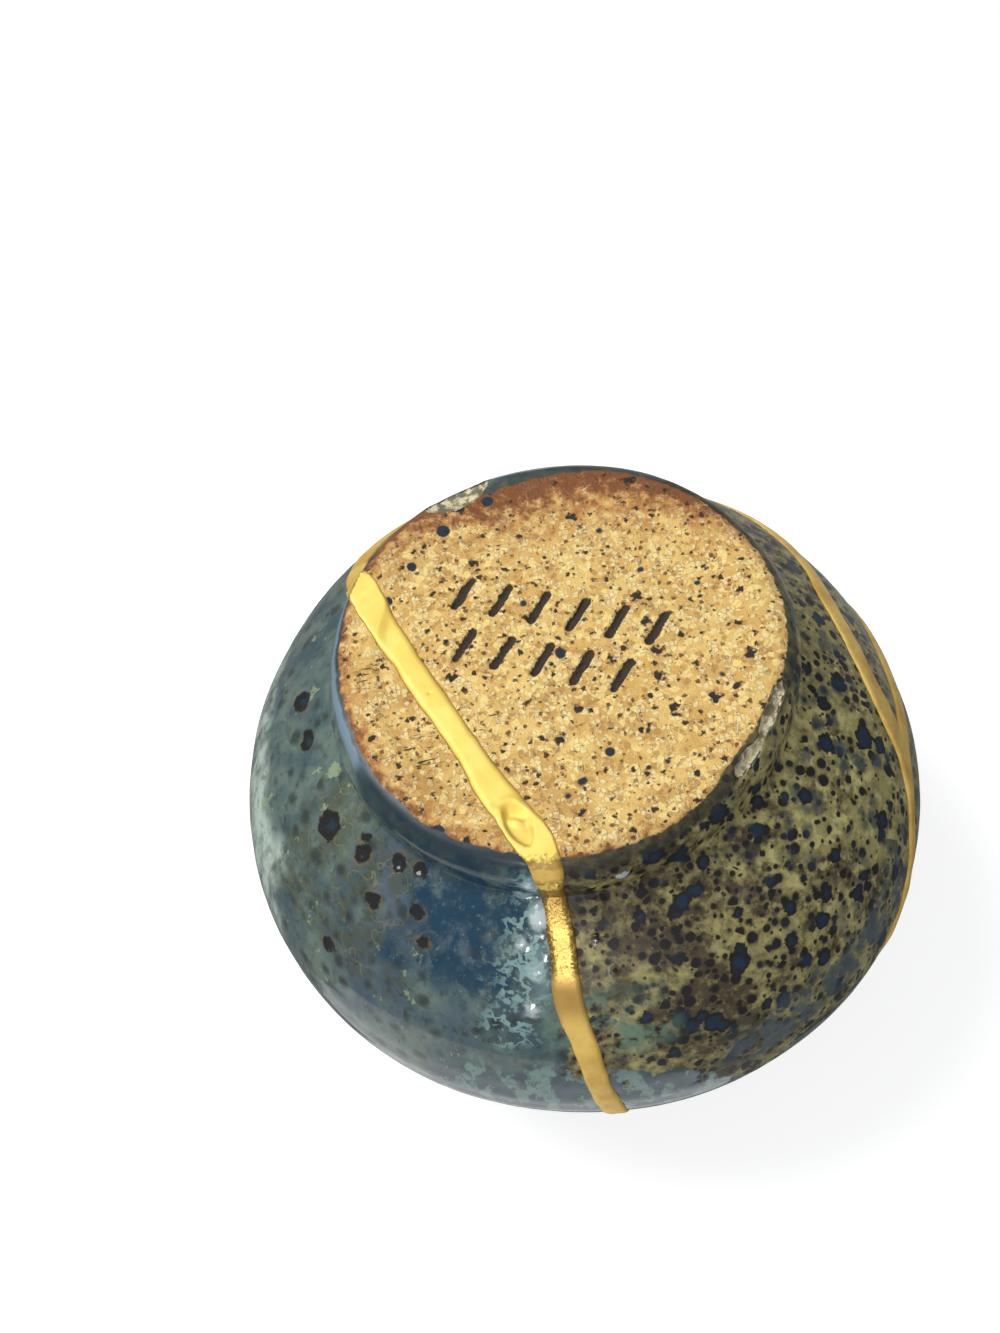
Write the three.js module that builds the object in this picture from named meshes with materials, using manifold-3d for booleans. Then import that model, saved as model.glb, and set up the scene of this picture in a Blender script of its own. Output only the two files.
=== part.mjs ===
// A small round stoneware vase, broken into three shards and mended with gold seams. Millimetres, +Z up,
// standing on its base with the origin at the bottom centre. The shards keep a hair of clearance to the
// gold that fills the cracks.
import * as THREE from 'three';
import { mergeVertices } from 'three/addons/utils/BufferGeometryUtils.js';
import Module from 'manifold-3d';

const wasm = await Module();
wasm.setup();

// The belly and the hollow inside it are half ellipses below and above the widest ring
const HEIGHT = 80;
const WIDEST = 41;
const BELLY = { radius: 57, below: 41.5, above: 32, from: 8.8, topRadius: 27.5, steps: 13 };
const HOLLOW = { radius: 52, below: 34.5, above: 27.5, topRadius: 23, steps: 8 };
const TURNS = 48;

// The rest of the outline, as [radius, height]: a shallow dish under the base, the flat ring that the vase
// stands on, the foot's wall, and the neck with its flared lip
const DISH = { radius: 27, depth: 0.8 };
const FOOT_OUTSIDE = [[29.5, 0], [33.2, 0], [34.6, 1], [36, 3.5], [36.2, 5.5]];
const NECK_OUTSIDE = [[25.5, 71.4], [25, 73.4], [25.6, 75.6], [27.1, 78], [27.6, 79.2], [26.8, HEIGHT]];
const NECK_INSIDE = [[25, HEIGHT], [24.2, 79.2], [22.2, 76.6], [21, 73], [21.4, 70]];
const NECK = { radius: 25, height: 73 };

// Thrown by hand, so slightly out of round: lobes as a share of the radius, with a crest's azimuth in degrees
const BELLY_LOBES = [{ count: 2, share: 0.0115, crest: 74 }, { count: 3, share: 0.006, crest: -23 }];
const FOOT_LOBES = [{ count: 2, share: 0.0178, crest: -45 }, { count: 3, share: 0.0113, crest: 52 }];
const FOOT_BLEND = { from: 5, over: 8 };

// Gold seams: how far the gold stands proud, its clearance to the shards, and how far a cut reaches
const GOLD_PROUD = 0.4;
const CLEARANCE = 0.3;
const CUT = { outside: 4, inside: 12, floor: 16, below: -2 };
const SEAM_STEPS_PER_POINT = 2;

// Where the long seam crosses the base, as [x, y, width], from the front foot edge to the left one
const BASE_SEAM = [
  [8.8, -41, 4.4], [8.8, -34, 4.6], [10.8, -28, 4.8], [13.4, -22, 4.6], [16.2, -14, 3.6],
  [19.2, -6, 3.6], [22.4, 2.5, 3.7], [25.2, 10, 3.8], [27.9, 18.5, 5.0], [29.6, 27, 5.0],
];

// Where the seams run on the wall, as [azimuth in degrees, height, width]
const FRONT_SEAM = [
  [283.6, 8, 3.8], [282, 13, 4], [281.2, 19, 4.3], [280, 26, 3.7], [278.4, 34, 3.7], [277, 41, 4],
  [275, 50, 3.8], [271.5, 61, 3.6], [269.5, 72, 3.5], [269, 84, 3.5],
];
const ROUND_SEAM = [
  [40, 8, 4.6], [47, 14, 4.6], [58, 19, 4.4], [74, 24, 4.2], [92, 27, 4], [112, 28, 4], [130, 26, 4],
  [145, 22.5, 4.2], [158, 19.5, 4.6], [168, 17.3, 4.6], [178, 17.4, 4.4], [187, 18.8, 4.6],
  [194, 21.8, 4.8], [199, 25.6, 4.6], [204, 28.4, 3], [209, 31.6, 2.7], [214, 36.5, 2.8],
  [219, 41.3, 3], [226, 49, 3.2], [234, 59, 3.2], [239, 71, 3.2], [240, 84, 3.2],
];
const BRANCH_SEAM = [
  [200, 26.4, 3.4], [194, 26.2, 3.6], [187, 26.8, 3.6], [179, 27, 3.6], [172, 28.6, 3.6],
  [162, 33, 3.6], [152, 42, 3.6], [145, 54, 3.4], [140, 68, 3.2], [138, 84, 3.2],
];

// Shallow incised strokes on the base, in two slanting rows: every stroke alike, evenly spaced
const STROKE = { length: 6.8, width: 1.5, depth: 0.7, lean: 40, step: [-5.5, -2.8] };
const STROKE_ROWS = [{ first: [12.3, 14], count: 6 }, { first: [13.7, 4.4], count: 5 }];

// Two chips in the foot's edge: centre and size of the bite
const CHIPS = [
  { at: [8.6, 34.4, 0.4], size: [4.4, 2.6, 2.2], turn: 14 },
  { at: [-23.4, -25.4, 0.2], size: [5.6, 2.4, 2.2], turn: 138 },
];

// A place on the wall of each shard, to tell them apart: [azimuth, height]
const SHARD_PLACES = { main_shard: [258, 60], wall_shard: [10, 55], rim_shard: [190, 60] };

const COLOURS = {
  olive: { color: 0x6f6a45, roughness: 0.3, metalness: 0 },
  slate: { color: 0x5f7674, roughness: 0.3, metalness: 0 },
  greyGreen: { color: 0x7d8a72, roughness: 0.3, metalness: 0 },
  gold: { color: 0xdcb04a, roughness: 0.35, metalness: 1 },
};

function radians(degrees) {
  return THREE.MathUtils.degToRad(degrees);
}

function halfHeight(shape, height) {
  return height < WIDEST ? shape.below : shape.above;
}

function ellipseRadius(shape, height) {
  return shape.radius * Math.sqrt(Math.max(0, 1 - ((height - WIDEST) / halfHeight(shape, height)) ** 2));
}

function ellipseTop(shape) {
  return WIDEST + shape.above * Math.sqrt(1 - (shape.topRadius / shape.radius) ** 2);
}

function ellipseArc(shape, fromHeight, toHeight) {
  const angleAt = (height) => Math.asin((height - WIDEST) / halfHeight(shape, height));
  const [first, last] = [angleAt(fromHeight), angleAt(toHeight)];
  return Array.from({ length: shape.steps + 1 }, (_, i) => {
    const angle = first + ((last - first) * i) / shape.steps;
    const half = angle < 0 ? shape.below : shape.above;
    return [shape.radius * Math.cos(angle), WIDEST + half * Math.sin(angle)];
  });
}

function grown(shape, by) {
  return {
    ...shape,
    radius: shape.radius + by,
    below: shape.below + by,
    above: shape.above + by,
    topRadius: shape.topRadius + by,
  };
}

// Outline points moved outwards, except those on the ring that the vase stands on and on the rim's top
function standOff(points, by) {
  return points.map(([radius, height]) => [height > 0 && height < HEIGHT ? radius + by : radius, height]);
}

// The closed outline of the wall from the axis under the base, over the rim, to the axis inside
function potOutline(proud) {
  const belly = grown(BELLY, proud);
  const hollow = grown(HOLLOW, -proud);
  const floor = WIDEST - hollow.below;
  return [
    [0, DISH.depth - proud],
    [DISH.radius, DISH.depth - proud],
    ...standOff(FOOT_OUTSIDE, proud),
    ...ellipseArc(belly, belly.from, ellipseTop(belly)),
    ...standOff(NECK_OUTSIDE, proud),
    ...standOff(NECK_INSIDE, -proud),
    ...ellipseArc(hollow, ellipseTop(hollow), floor).slice(0, -1),
    [0, floor],
  ];
}

function lobeShare(lobes, azimuth) {
  const push = (lobe) => lobe.share * Math.cos(lobe.count * radians(azimuth - lobe.crest));
  return lobes.reduce((sum, lobe) => sum + push(lobe), 0);
}

// How much larger than its round outline the pot is at an azimuth and height
function outOfRound(azimuth, height) {
  const belly = THREE.MathUtils.clamp((height - FOOT_BLEND.from) / FOOT_BLEND.over, 0, 1);
  return 1 + belly * lobeShare(BELLY_LOBES, azimuth) + (1 - belly) * lobeShare(FOOT_LOBES, azimuth);
}

function toSolid(geometry) {
  const bare = geometry.clone();
  for (const name of Object.keys(bare.attributes)) {
    if (name !== 'position') bare.deleteAttribute(name);
  }
  const merged = mergeVertices(bare);
  const corners = merged.index.array;
  const kept = [];
  for (let i = 0; i < corners.length; i += 3) {
    const [a, b, c] = corners.subarray(i, i + 3);
    if (a !== b && b !== c && c !== a) kept.push(a, b, c);
  }
  const mesh = new wasm.Mesh({
    numProp: 3,
    vertProperties: new Float32Array(merged.attributes.position.array),
    triVerts: new Uint32Array(kept),
  });
  return new wasm.Manifold(mesh);
}

function toGeometry(solid) {
  const { vertProperties, triVerts, numProp } = solid.getMesh();
  const positions = new Float32Array((vertProperties.length / numProp) * 3);
  for (let i = 0; i < positions.length / 3; i += 1) {
    positions.set(vertProperties.subarray(i * numProp, i * numProp + 3), i * 3);
  }
  const geometry = new THREE.BufferGeometry();
  geometry.setAttribute('position', new THREE.BufferAttribute(positions, 3));
  geometry.setIndex(new THREE.BufferAttribute(new Uint32Array(triVerts), 1));
  geometry.computeVertexNormals();
  return geometry;
}

// The whole unbroken pot, turned and then pushed out of round
function pot(proud) {
  const outline = potOutline(proud).map(([radius, height]) => new THREE.Vector2(radius, height));
  const geometry = new THREE.LatheGeometry(outline, TURNS);
  geometry.rotateX(Math.PI / 2);
  const places = geometry.attributes.position;
  for (let i = 0; i < places.count; i += 1) {
    const [x, y, z] = [places.getX(i), places.getY(i), places.getZ(i)];
    const share = outOfRound(THREE.MathUtils.radToDeg(Math.atan2(y, x)), z);
    places.setXY(i, x * share, y * share);
  }
  return toSolid(geometry);
}

// A point on the outer wall, with the wall's outward direction there
function wallPlace(azimuth, height) {
  const level = Math.min(height, NECK.height);
  const onNeck = height > WIDEST && ellipseRadius(BELLY, level) < NECK.radius;
  const radius = onNeck ? NECK.radius : ellipseRadius(BELLY, level);
  const around = new THREE.Vector3(Math.cos(radians(azimuth)), Math.sin(radians(azimuth)), 0);
  const outward = around.clone().multiplyScalar(radius / BELLY.radius ** 2);
  outward.z = onNeck ? 0 : (level - WIDEST) / halfHeight(BELLY, level) ** 2;
  const point = around.multiplyScalar(radius * outOfRound(azimuth, height));
  point.z = height;
  return { point, outward: outward.normalize() };
}

// A closed bar through matching four-cornered sections, each listed the same way round
function barThrough(sections) {
  const positions = sections.flat().flatMap((corner) => [corner.x, corner.y, corner.z]);
  const index = [];
  const quad = (a, b, c, d) => index.push(a, b, c, a, c, d);
  for (let i = 0; i + 1 < sections.length; i += 1) {
    for (let side = 0; side < 4; side += 1) {
      const next = (side + 1) % 4;
      quad(4 * i + side, 4 * i + next, 4 * (i + 1) + next, 4 * (i + 1) + side);
    }
  }
  const last = 4 * (sections.length - 1);
  quad(3, 2, 1, 0);
  quad(last, last + 1, last + 2, last + 3);
  const geometry = new THREE.BufferGeometry();
  geometry.setAttribute('position', new THREE.Float32BufferAttribute(positions, 3));
  geometry.setIndex(index);
  return toSolid(geometry);
}

// Points of a route smoothed by a curve; the third number of each is the seam's width
function smoothRoute(route) {
  const points = route.map((point) => new THREE.Vector3(...point));
  const curve = new THREE.CatmullRomCurve3(points, false, 'centripetal');
  return curve.getPoints((route.length - 1) * SEAM_STEPS_PER_POINT);
}

// The cut that a seam makes through the wall along [azimuth, height, width]
function wallCut(route, extraWidth) {
  const steps = smoothRoute(route);
  const places = steps.map((step) => wallPlace(step.x, step.y));
  const sections = places.map(({ point, outward }, i) => {
    const before = places[Math.max(i - 1, 0)].point;
    const after = places[Math.min(i + 1, places.length - 1)].point;
    const along = after.clone().sub(before).normalize();
    const across = along.clone().cross(outward).normalize();
    const halfWidth = steps[i].z / 2 + extraWidth;
    const corner = (side, depth) =>
      point.clone().addScaledVector(across, side * halfWidth).addScaledVector(outward, depth);
    return [corner(-1, CUT.outside), corner(1, CUT.outside), corner(1, -CUT.inside), corner(-1, -CUT.inside)];
  });
  return barThrough(sections);
}

// The upright cut that a seam makes through the base along [x, y, width]
function baseCut(route, extraWidth) {
  const steps = smoothRoute(route);
  const sections = steps.map((step, i) => {
    const before = steps[Math.max(i - 1, 0)];
    const after = steps[Math.min(i + 1, steps.length - 1)];
    const along = new THREE.Vector2(after.x - before.x, after.y - before.y).normalize();
    const halfWidth = step.z / 2 + extraWidth;
    const corner = (side, height) =>
      new THREE.Vector3(
        step.x + side * along.y * halfWidth,
        step.y - side * along.x * halfWidth,
        height,
      );
    return [corner(-1, CUT.floor), corner(1, CUT.floor), corner(1, CUT.below), corner(-1, CUT.below)];
  });
  return barThrough(sections);
}

function seamNetwork(extraWidth) {
  return baseCut(BASE_SEAM, extraWidth)
    .add(wallCut(FRONT_SEAM, extraWidth))
    .add(wallCut(ROUND_SEAM, extraWidth))
    .add(wallCut(BRANCH_SEAM, extraWidth));
}

function strokes() {
  const [stepX, stepY] = STROKE.step;
  const cuts = STROKE_ROWS.flatMap(({ first, count }) =>
    Array.from({ length: count }, (_, i) => {
      const cut = new THREE.BoxGeometry(STROKE.width, STROKE.length, 2 * STROKE.depth);
      cut.rotateZ(radians(STROKE.lean));
      cut.translate(first[0] + i * stepX, first[1] + i * stepY, DISH.depth);
      return toSolid(cut);
    }));
  return cuts.reduce((all, cut) => all.add(cut));
}

function chips() {
  const bites = CHIPS.map(({ at, size, turn }) => {
    const bite = new THREE.IcosahedronGeometry(1, 1);
    bite.scale(...size);
    bite.rotateZ(radians(turn));
    bite.translate(...at);
    return toSolid(bite);
  });
  return bites.reduce((all, bite) => all.add(bite));
}

// Of the separate bodies of a cut pot, the one with a vertex nearest to a place on the wall
function bodyAt(bodies, [azimuth, height]) {
  const { point } = wallPlace(azimuth, height);
  const distance = (body) => {
    const { vertProperties } = body.getMesh();
    let nearest = Infinity;
    for (let i = 0; i < vertProperties.length; i += 3) {
      nearest = Math.min(nearest, point.distanceTo(new THREE.Vector3().fromArray(vertProperties, i)));
    }
    return nearest;
  };
  return bodies.reduce((best, body) => (distance(body) < distance(best) ? body : best));
}

function named(name, solid, colour) {
  const mesh = new THREE.Mesh(toGeometry(solid), new THREE.MeshStandardMaterial(colour));
  mesh.name = name;
  return mesh;
}

function buildVase() {
  const group = new THREE.Group();
  const brokenPot = pot(0).subtract(seamNetwork(CLEARANCE)).decompose();
  const shards = Object.fromEntries(
    Object.entries(SHARD_PLACES).map(([name, place]) => [name, bodyAt(brokenPot, place)]),
  );
  const gold = pot(GOLD_PROUD).intersect(seamNetwork(0));
  group.add(named('main_shard', shards.main_shard.subtract(strokes()).subtract(chips()), COLOURS.olive));
  group.add(named('wall_shard', shards.wall_shard, COLOURS.slate));
  group.add(named('rim_shard', shards.rim_shard, COLOURS.greyGreen));
  group.add(named('gold_seam', gold, COLOURS.gold));
  return group;
}

export default buildVase();
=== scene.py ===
"""The look of a small mended stoneware vase: shards with glaze and bare clay, and the gold between them.

Sizes are millimetres in the model's frame, with +Z from the base to the mouth, unless a comment says metres.
Azimuths are degrees round the axis from +X towards +Y.
"""
import math
from collections import deque

import bpy
import numpy as np
from mathutils import Matrix, Vector, kdtree, noise


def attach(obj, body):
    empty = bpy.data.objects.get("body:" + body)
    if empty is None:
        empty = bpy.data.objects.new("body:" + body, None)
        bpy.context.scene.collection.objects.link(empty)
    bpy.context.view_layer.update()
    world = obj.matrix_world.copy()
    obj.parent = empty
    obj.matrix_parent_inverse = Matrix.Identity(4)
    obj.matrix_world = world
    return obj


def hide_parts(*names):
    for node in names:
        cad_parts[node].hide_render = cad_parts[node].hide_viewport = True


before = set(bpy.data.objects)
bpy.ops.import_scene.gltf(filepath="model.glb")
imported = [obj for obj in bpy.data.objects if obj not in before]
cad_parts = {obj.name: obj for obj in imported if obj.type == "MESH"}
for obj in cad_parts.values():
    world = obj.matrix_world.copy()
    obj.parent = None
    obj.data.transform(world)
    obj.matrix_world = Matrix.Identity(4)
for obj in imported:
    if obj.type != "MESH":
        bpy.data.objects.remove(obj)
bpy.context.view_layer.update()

BODY = "root"
MM = 0.001

# Outline of the pot: half ellipses for the belly and its hollow, and [radius, height] points for the rest
HEIGHT = 80.0
WIDEST = 41.0
BELLY = {"radius": 57.0, "below": 41.5, "above": 32.0, "from": 8.8, "top_radius": 27.5}
HOLLOW = {"radius": 52.0, "below": 34.5, "above": 27.5, "from": 6.5, "top_radius": 23.0}
BASE_OUTSIDE = [(0, 0.8), (27, 0.8), (29.5, 0), (33.2, 0), (34.6, 1), (36, 3.5), (36.2, 5.5)]
NECK_OUTSIDE = [(25.5, 71.4), (25, 73.4), (25.6, 75.6), (27.1, 78), (27.6, 79.2), (26.8, HEIGHT)]
NECK_INSIDE = [(25, HEIGHT), (24.2, 79.2), (22.2, 76.6), (21, 73), (21.4, 70)]
BASE_TOP = 1.5
FOOT_RADIUS = 36
OUTLINE_STEP = 0.1
ELLIPSE_POINTS = 200
CORNER_SOFTNESS = 0.35
# How the inner wall is matched to the outer one: points smoothed over, and powers that ease both ends in
MATCHING = {"reach": 60, "start_power": 8, "end_power": 24}

# Thrown by hand, so out of round: (lobes, share of the radius, a crest's azimuth)
BELLY_LOBES = [(2, 0.0115, 74), (3, 0.006, -23)]
FOOT_LOBES = [(2, 0.0178, -45), (3, 0.0113, 52)]
FOOT_BULGE = 0.038
FOOT_BLEND = {"from": 5.0, "over": 8.0}

# Mesh of the shards: columns round the axis, and how far apart its rows are up to each arc length
COLUMNS = 448
ROW_STEPS = [(46, 0.46), (96, 0.72), (200, 1.05)]
SHARP_CLAY = 50
SHARP_GOLD = 60

# Seams as [azimuth, height, width] on the wall, where a height above the pot stands for its lip,
# and as [x, y, width] across the base
FRONT_SEAM = [
    (269, 84, 3.5), (269.5, 72, 3.5), (271.5, 61, 3.6), (275.4, 50, 3.6), (276.6, 41, 3.8), (277.9, 34, 3.7),
    (279.2, 26, 3.9), (281.4, 19, 4.4), (282, 13, 4), (283.6, 8, 3.8),
]
BASE_SEAM = [
    (8.8, -34, 4.8), (10.8, -28, 5.7), (13.4, -22, 5.0), (16.2, -14, 3.9), (19.2, -6, 4.0),
    (22.4, 2.5, 4.1), (25.2, 10, 4.4), (27.9, 18.5, 5.2),
]
ROUND_SEAM = [
    (40, 8, 4.6), (47, 14, 4.6), (58, 19, 4.4), (74, 24, 4.2), (92, 27, 3.8), (112, 28, 3.5), (130, 26, 3.2),
    (145, 22.5, 3.2), (158, 19.5, 3.4), (168, 17.3, 3.6), (178, 17.4, 3.9), (187, 18.8, 4.4),
    (194, 21.8, 4.8), (199, 25.6, 4.6), (204, 28.4, 3), (209, 31.6, 2.7), (214, 36.5, 2.8),
    (219, 41.3, 3), (226, 49, 3.2), (234, 59, 3.2), (239, 71, 3.2), (240, 84, 3.2),
]
BRANCH_SEAM = [
    (200, 26.4, 3.4), (194, 26.2, 3.6), (187, 26.8, 3.6), (179, 27, 3.6), (172, 28.6, 3.6),
    (162, 33, 3.6), (152, 42, 3.6), (145, 54, 3.4), (140, 68, 3.2), (138, 84, 3.2),
]
ROUTE_POINTS = 12
SEAM_STEP = 0.4
SEAM_WAVES = {"long": (0.07, 7.0), "short": (0.08, 2.6)}
SHARD_OVERLAP = 0.7
UNDER_GOLD = 0.25
NARROWEST_HALF = 0.75
SNAP_FROM = 0.2

# A place on each shard as (azimuth, height), with its material slot
SHARDS = {
    "main_shard": {"place": (258, 60), "slot": "olive_glaze"},
    "wall_shard": {"place": (10, 55), "slot": "slate_glaze"},
    "rim_shard": {"place": (190, 60), "slot": "grey_green_glaze"},
}
OUTSIDE, INSIDE, BROKEN = 0, 1, 2

# Shallow strokes cut into the base in two slanting rows, and chips out of its edge
STROKE = {
    "length": 6.8, "width": 1.5, "depth": 0.7, "lean": 40, "step": (-5.5, -2.8), "full": 0.35, "soft": 0.15,
}
STROKE_ROWS = [{"first": (12.3, 14), "count": 6}, {"first": (13.7, 4.4), "count": 5}]
CHIPS = [
    {"at": (10.2, 33.4, 0.4), "size": (5.6, 3.2, 2.4), "turn": -16},
    {"at": (-23.4, -25.4, 0.2), "size": (5.6, 1.9, 1.9), "turn": 138},
    {"at": (-27.7, -18.8, 0.2), "size": (7.0, 1.2, 1.2), "turn": 123},
]
CHIP_BITE = 0.9

# Where the glaze starts, as (azimuth, arc length from the base's centre): it laps onto the base at the back
GLAZE_LINE = [
    (0, 33.6), (14, 34.6), (25, 34.8), (36, 35.4), (52, 35.9), (62, 35.4), (69, 34.0), (79, 31.2), (90, 31.6),
    (102, 32.4), (113, 33.0), (126, 33.3), (140, 33.6), (158, 34.0), (178, 34.3), (192, 34.3), (204, 33.9),
    (216, 33.3), (226, 33.1), (236, 33.4), (242, 34.3), (256, 34.8), (272, 34.5), (281, 34.2), (295, 33.6),
    (314, 33.8), (336, 33.4), (348, 33.3),
]
GLAZE_LINE_RADIUS = 34

# Large iron spots, craters and blisters in the glaze, as (azimuth, height, radius)
GLAZE_SPOTS = [
    (259, 3.9, 1.4), (257, 11.7, 1.4), (253.5, 11.3, 1.1), (242, 3.9, 1.8), (249, 9.7, 1.0),
    (250.4, 18.4, 1.1), (251.8, 19.6, 1.3), (253.2, 20.8, 0.8), (259, 25.9, 1.7), (257.6, 27.0, 1.1),
    (260.4, 24.2, 1.0), (266, 28.7, 1.2), (239, 17.8, 1.2), (235.5, 22.1, 1.3), (232, 20.1, 1.2),
    (202, 16.6, 1.9), (201, 19.4, 1.5), (214, 22.4, 1.5), (218, 30, 1.4), (222, 11.9, 1.1), (266, 11.6, 0.9),
    (226, 18, 1.0), (248, 14.7, 0.8), (250, 27.2, 0.9), (199, 11.4, 1.2), (242, 21.2, 1.1),
    (238, 27, 1.3), (208, 12.1, 1.3), (230, 9, 1.0), (227, 24, 1.2), (269, 22.1, 1.0),
]
CRATERS = [
    (340, 13.1, 2.1), (329, 11.9, 1.4), (330.5, 10.6, 0.9), (315, 9.7, 1.0), (320, 10.3, 1.2),
    (322, 14.9, 1.2), (312, 13.4, 1.1), (309, 15.8, 1.0), (338, 5.2, 0.9), (1, 12.4, 1.5), (12, 13.2, 1.8),
    (327, 24.5, 1.2), (60, 30, 1.6), (95, 44, 1.4),
]
BLISTERS = [
    (287.6, 4.8, 1.9), (285.9, 10.6, 2.3), (286.7, 15.8, 1.7), (290.5, 8.2, 1.1), (290.2, 13.2, 1.2),
    (288.0, 20.4, 1.3), (267.6, 4.7, 1.6), (274.5, 6.4, 0.8), (273.4, 9.6, 0.7), (275.2, 12.6, 0.8),
    (272.8, 16.0, 0.7), (265.0, 8.6, 0.8),
]
# Where the glaze changes colour, and where a highlight is painted, as (azimuths from and to, heights from and
# to)
ZONES = {
    "violet": (297, 329, 8, 28),
    "deep_blue": (288, 315, -4, 20),
    "rusty": (311, 350, 7, 25),
    "pale": (342, 400, 22, 60),
    "frost": (250, 303, 30, 47),
    "lace": (284.5, 294.5, 1, 25),
    "turquoise": (267, 282, 19, 27),
    # A pale painted highlight along the rounded foot on the left.
    "foot_line": (332, 395, -9, 9),
    "foot_blue": (284, 338, -9, 4.0),
    "flecked": (340, 382, 8, 20),
    "slate_band": (216, 256, 29, 36),
    "misty": (110, 204, 24, 60),
}
ZONE_SOFTNESS = {"azimuth": 7.0, "height": 4.0}
# Dark mineral spots in the bare clay and patches of scratches on it, as (x, y, radius)
CLAY_SPOTS = [
    (19.4, 20.8, 0.8), (5.6, 18.2, 0.6), (3.6, 9.6, 0.6), (23.9, 15.2, 0.6), (-0.2, -0.8, 0.9),
    (2.2, -14.8, 0.6), (-3.7, -19.2, 0.9), (1.0, -22.9, 1.0), (3.5, -24.8, 0.5), (-10.6, 20.3, 0.7),
    (-15.3, 11.1, 0.6), (-17.7, 13.1, 0.5), (-22.9, 6.6, 0.6), (-11.3, -22.6, 0.7), (-15.9, -23.2, 0.6),
    (13.4, 26.4, 1.0), (5.6, 30.5, 1.1), (22.5, -26.3, 1.0), (-22.6, -10.5, 0.6), (4.3, 24.2, 0.5),
]
SCRATCHED = [(22.7, -12.9, 4.5), (28.2, 2.0, 3.5), (12.9, -9.7, 3.5)]
DISC_HEIGHT = 0.4
OUTSIDE_DISCS = -9.0

# Sides of the pot, as (azimuth, half width, softness), all in degrees
SIDES = {
    "foot_bulge": (88, 52, 50),
    "toasted_left": (335, 30, 50),
    "toasted_back": (95, 50, 60),
    "plain_right": (205, 50, 40),
    "light_olive": (200, 35, 60),
    "olive": (207, 76, 14),
    "low_olive": (278, 18, 16),
    "gold_front": (280, 30, 20),
}
# How far the fire browned the clay from the glaze's line, and how strongly, with what each side adds
TOAST_REACH = {"all": 2.4, "toasted_left": 2.6, "toasted_back": 8.0}
TOAST_STRENGTH = {"all": 1.15, "plain_right": -0.55, "toasted_back": 0.45}
OLIVE_TOP = {"height": 42, "lower": 10, "soft": 6}

# Unevenness, as lists of (height, size, seed)
WAVES = {
    "glaze_line": [(0.3, 4.0, 21), (0.22, 1.6, 22)],
    "stroke": [(0.18, 2.0, 31)],
    "wall": [(0.25, 24.0, 41)],
    "turning": [(2, 12.0, 53)],
    "clay": [(0.05, 1.1, 54), (0.09, 5.5, 55)],
    "crust": [(1.0, 2.4, 61)],
    "orange_peel": [(0.035, 3.2, 62)],
    "inner_wall": [(0.12, 15.0, 71)],
    "spot": [(0.45, 2.6, 81), (0.3, 1.1, 82)],
    "zone": [(3.0, 9.0, 84), (1.2, 2.8, 85)],
    "olive": [(5, 14.0, 91), (3, 5.0, 92)],
    "gold": [(0.05, 4.2, 101), (0.02, 1.5, 102)],
    "gold_lip": [(0.5, 1.3, 103)],
    "gold_kink": [(0.5, 1.6, 105)],
    "gold_crumbs": [(1.1, 0.7, 106)],
}
# Relief of the walls, of the glaze's edge and of what the clay and the glaze carry
RINGS = {
    "height": 0.05, "pitch": 5.3, "climb": 1.4, "swing": 1.5, "swing_length": 7.1,
    "start": (38, 46), "end": 4,
}
INNER_RINGS = {"height": 0.16, "pitch": 6.1, "climb": 2.2, "end": (7, 1)}
GLAZE_EDGE = {"height": 0.16, "over": (-0.1, 1.1), "bead": 0.04, "bead_at": 1.2, "bead_width": 0.9}
CLAY_EDGE = (0.2, -0.6)
CLAY_AREA = ((-37, -37), (37, 37))
GRAINS = {"count": 900, "seed": 51, "sizes": (0.4, 1.0), "heights": (0.02, 0.10)}
PITS = {"count": 700, "seed": 52, "sizes": (0.3, 0.75), "heights": (-0.16, -0.03)}
TURNING = {"height": 0.025, "pitch": 2.7, "centre": (1.2, -0.8)}
CRATER = {"depth": 0.35, "edge": (-0.1, 1.0), "rim": 0.12, "rim_at": -0.1, "rim_width": 0.35}
BLISTER = {"height": 0.5, "edge": (-0.1, 1.3)}
CRUST = {"height": 0.22, "edge": (-0.1, 0.55), "azimuth": 288.5, "turn": 6.5, "from": (4, 8), "to": (21, 26)}

# The gold stands proud with rounded sides, and has a dent and a torn lower edge near the front of the base
GOLD = {"sunk": 0.14, "proud": 0.40, "rounding": 0.9, "inner_proud": 0.25, "calm_edge": (0.2, 0.9)}
GOLD_GRID = {"columns": 1408, "row_step": 0.26, "reach": 4.0, "least_radius": 5.0}
GOLD_DENT = {"at": (10.9, -28.0, 0.4), "size": (4.2, 2.3), "turn": 69, "depth": 1.1, "fold": 0.6, "rim": 0.2}
GOLD_PIT = {"at": (20.2, -3.1, 0.4), "radius": 0.55, "depth": 0.4, "edge": (-0.1, 0.5)}
GOLD_LIP = {"arc": 34.2, "width": 0.4, "rise": 0.34}
GOLD_KINK = {"height": 4.3, "width": 0.5, "rise": 0.3}
# Heights at which the gold on the front is granular, darkened by painted shade, and dull, as (rise from and
# to, fall from and to)
GOLD_BANDS = [
    ((2.8, 4.0), (15.0, 18.0)),
    ((14.5, 17.5), (19.0, 24.0)),
    ((4.8, 5.6), (8.0, 10.5)),
]

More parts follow.
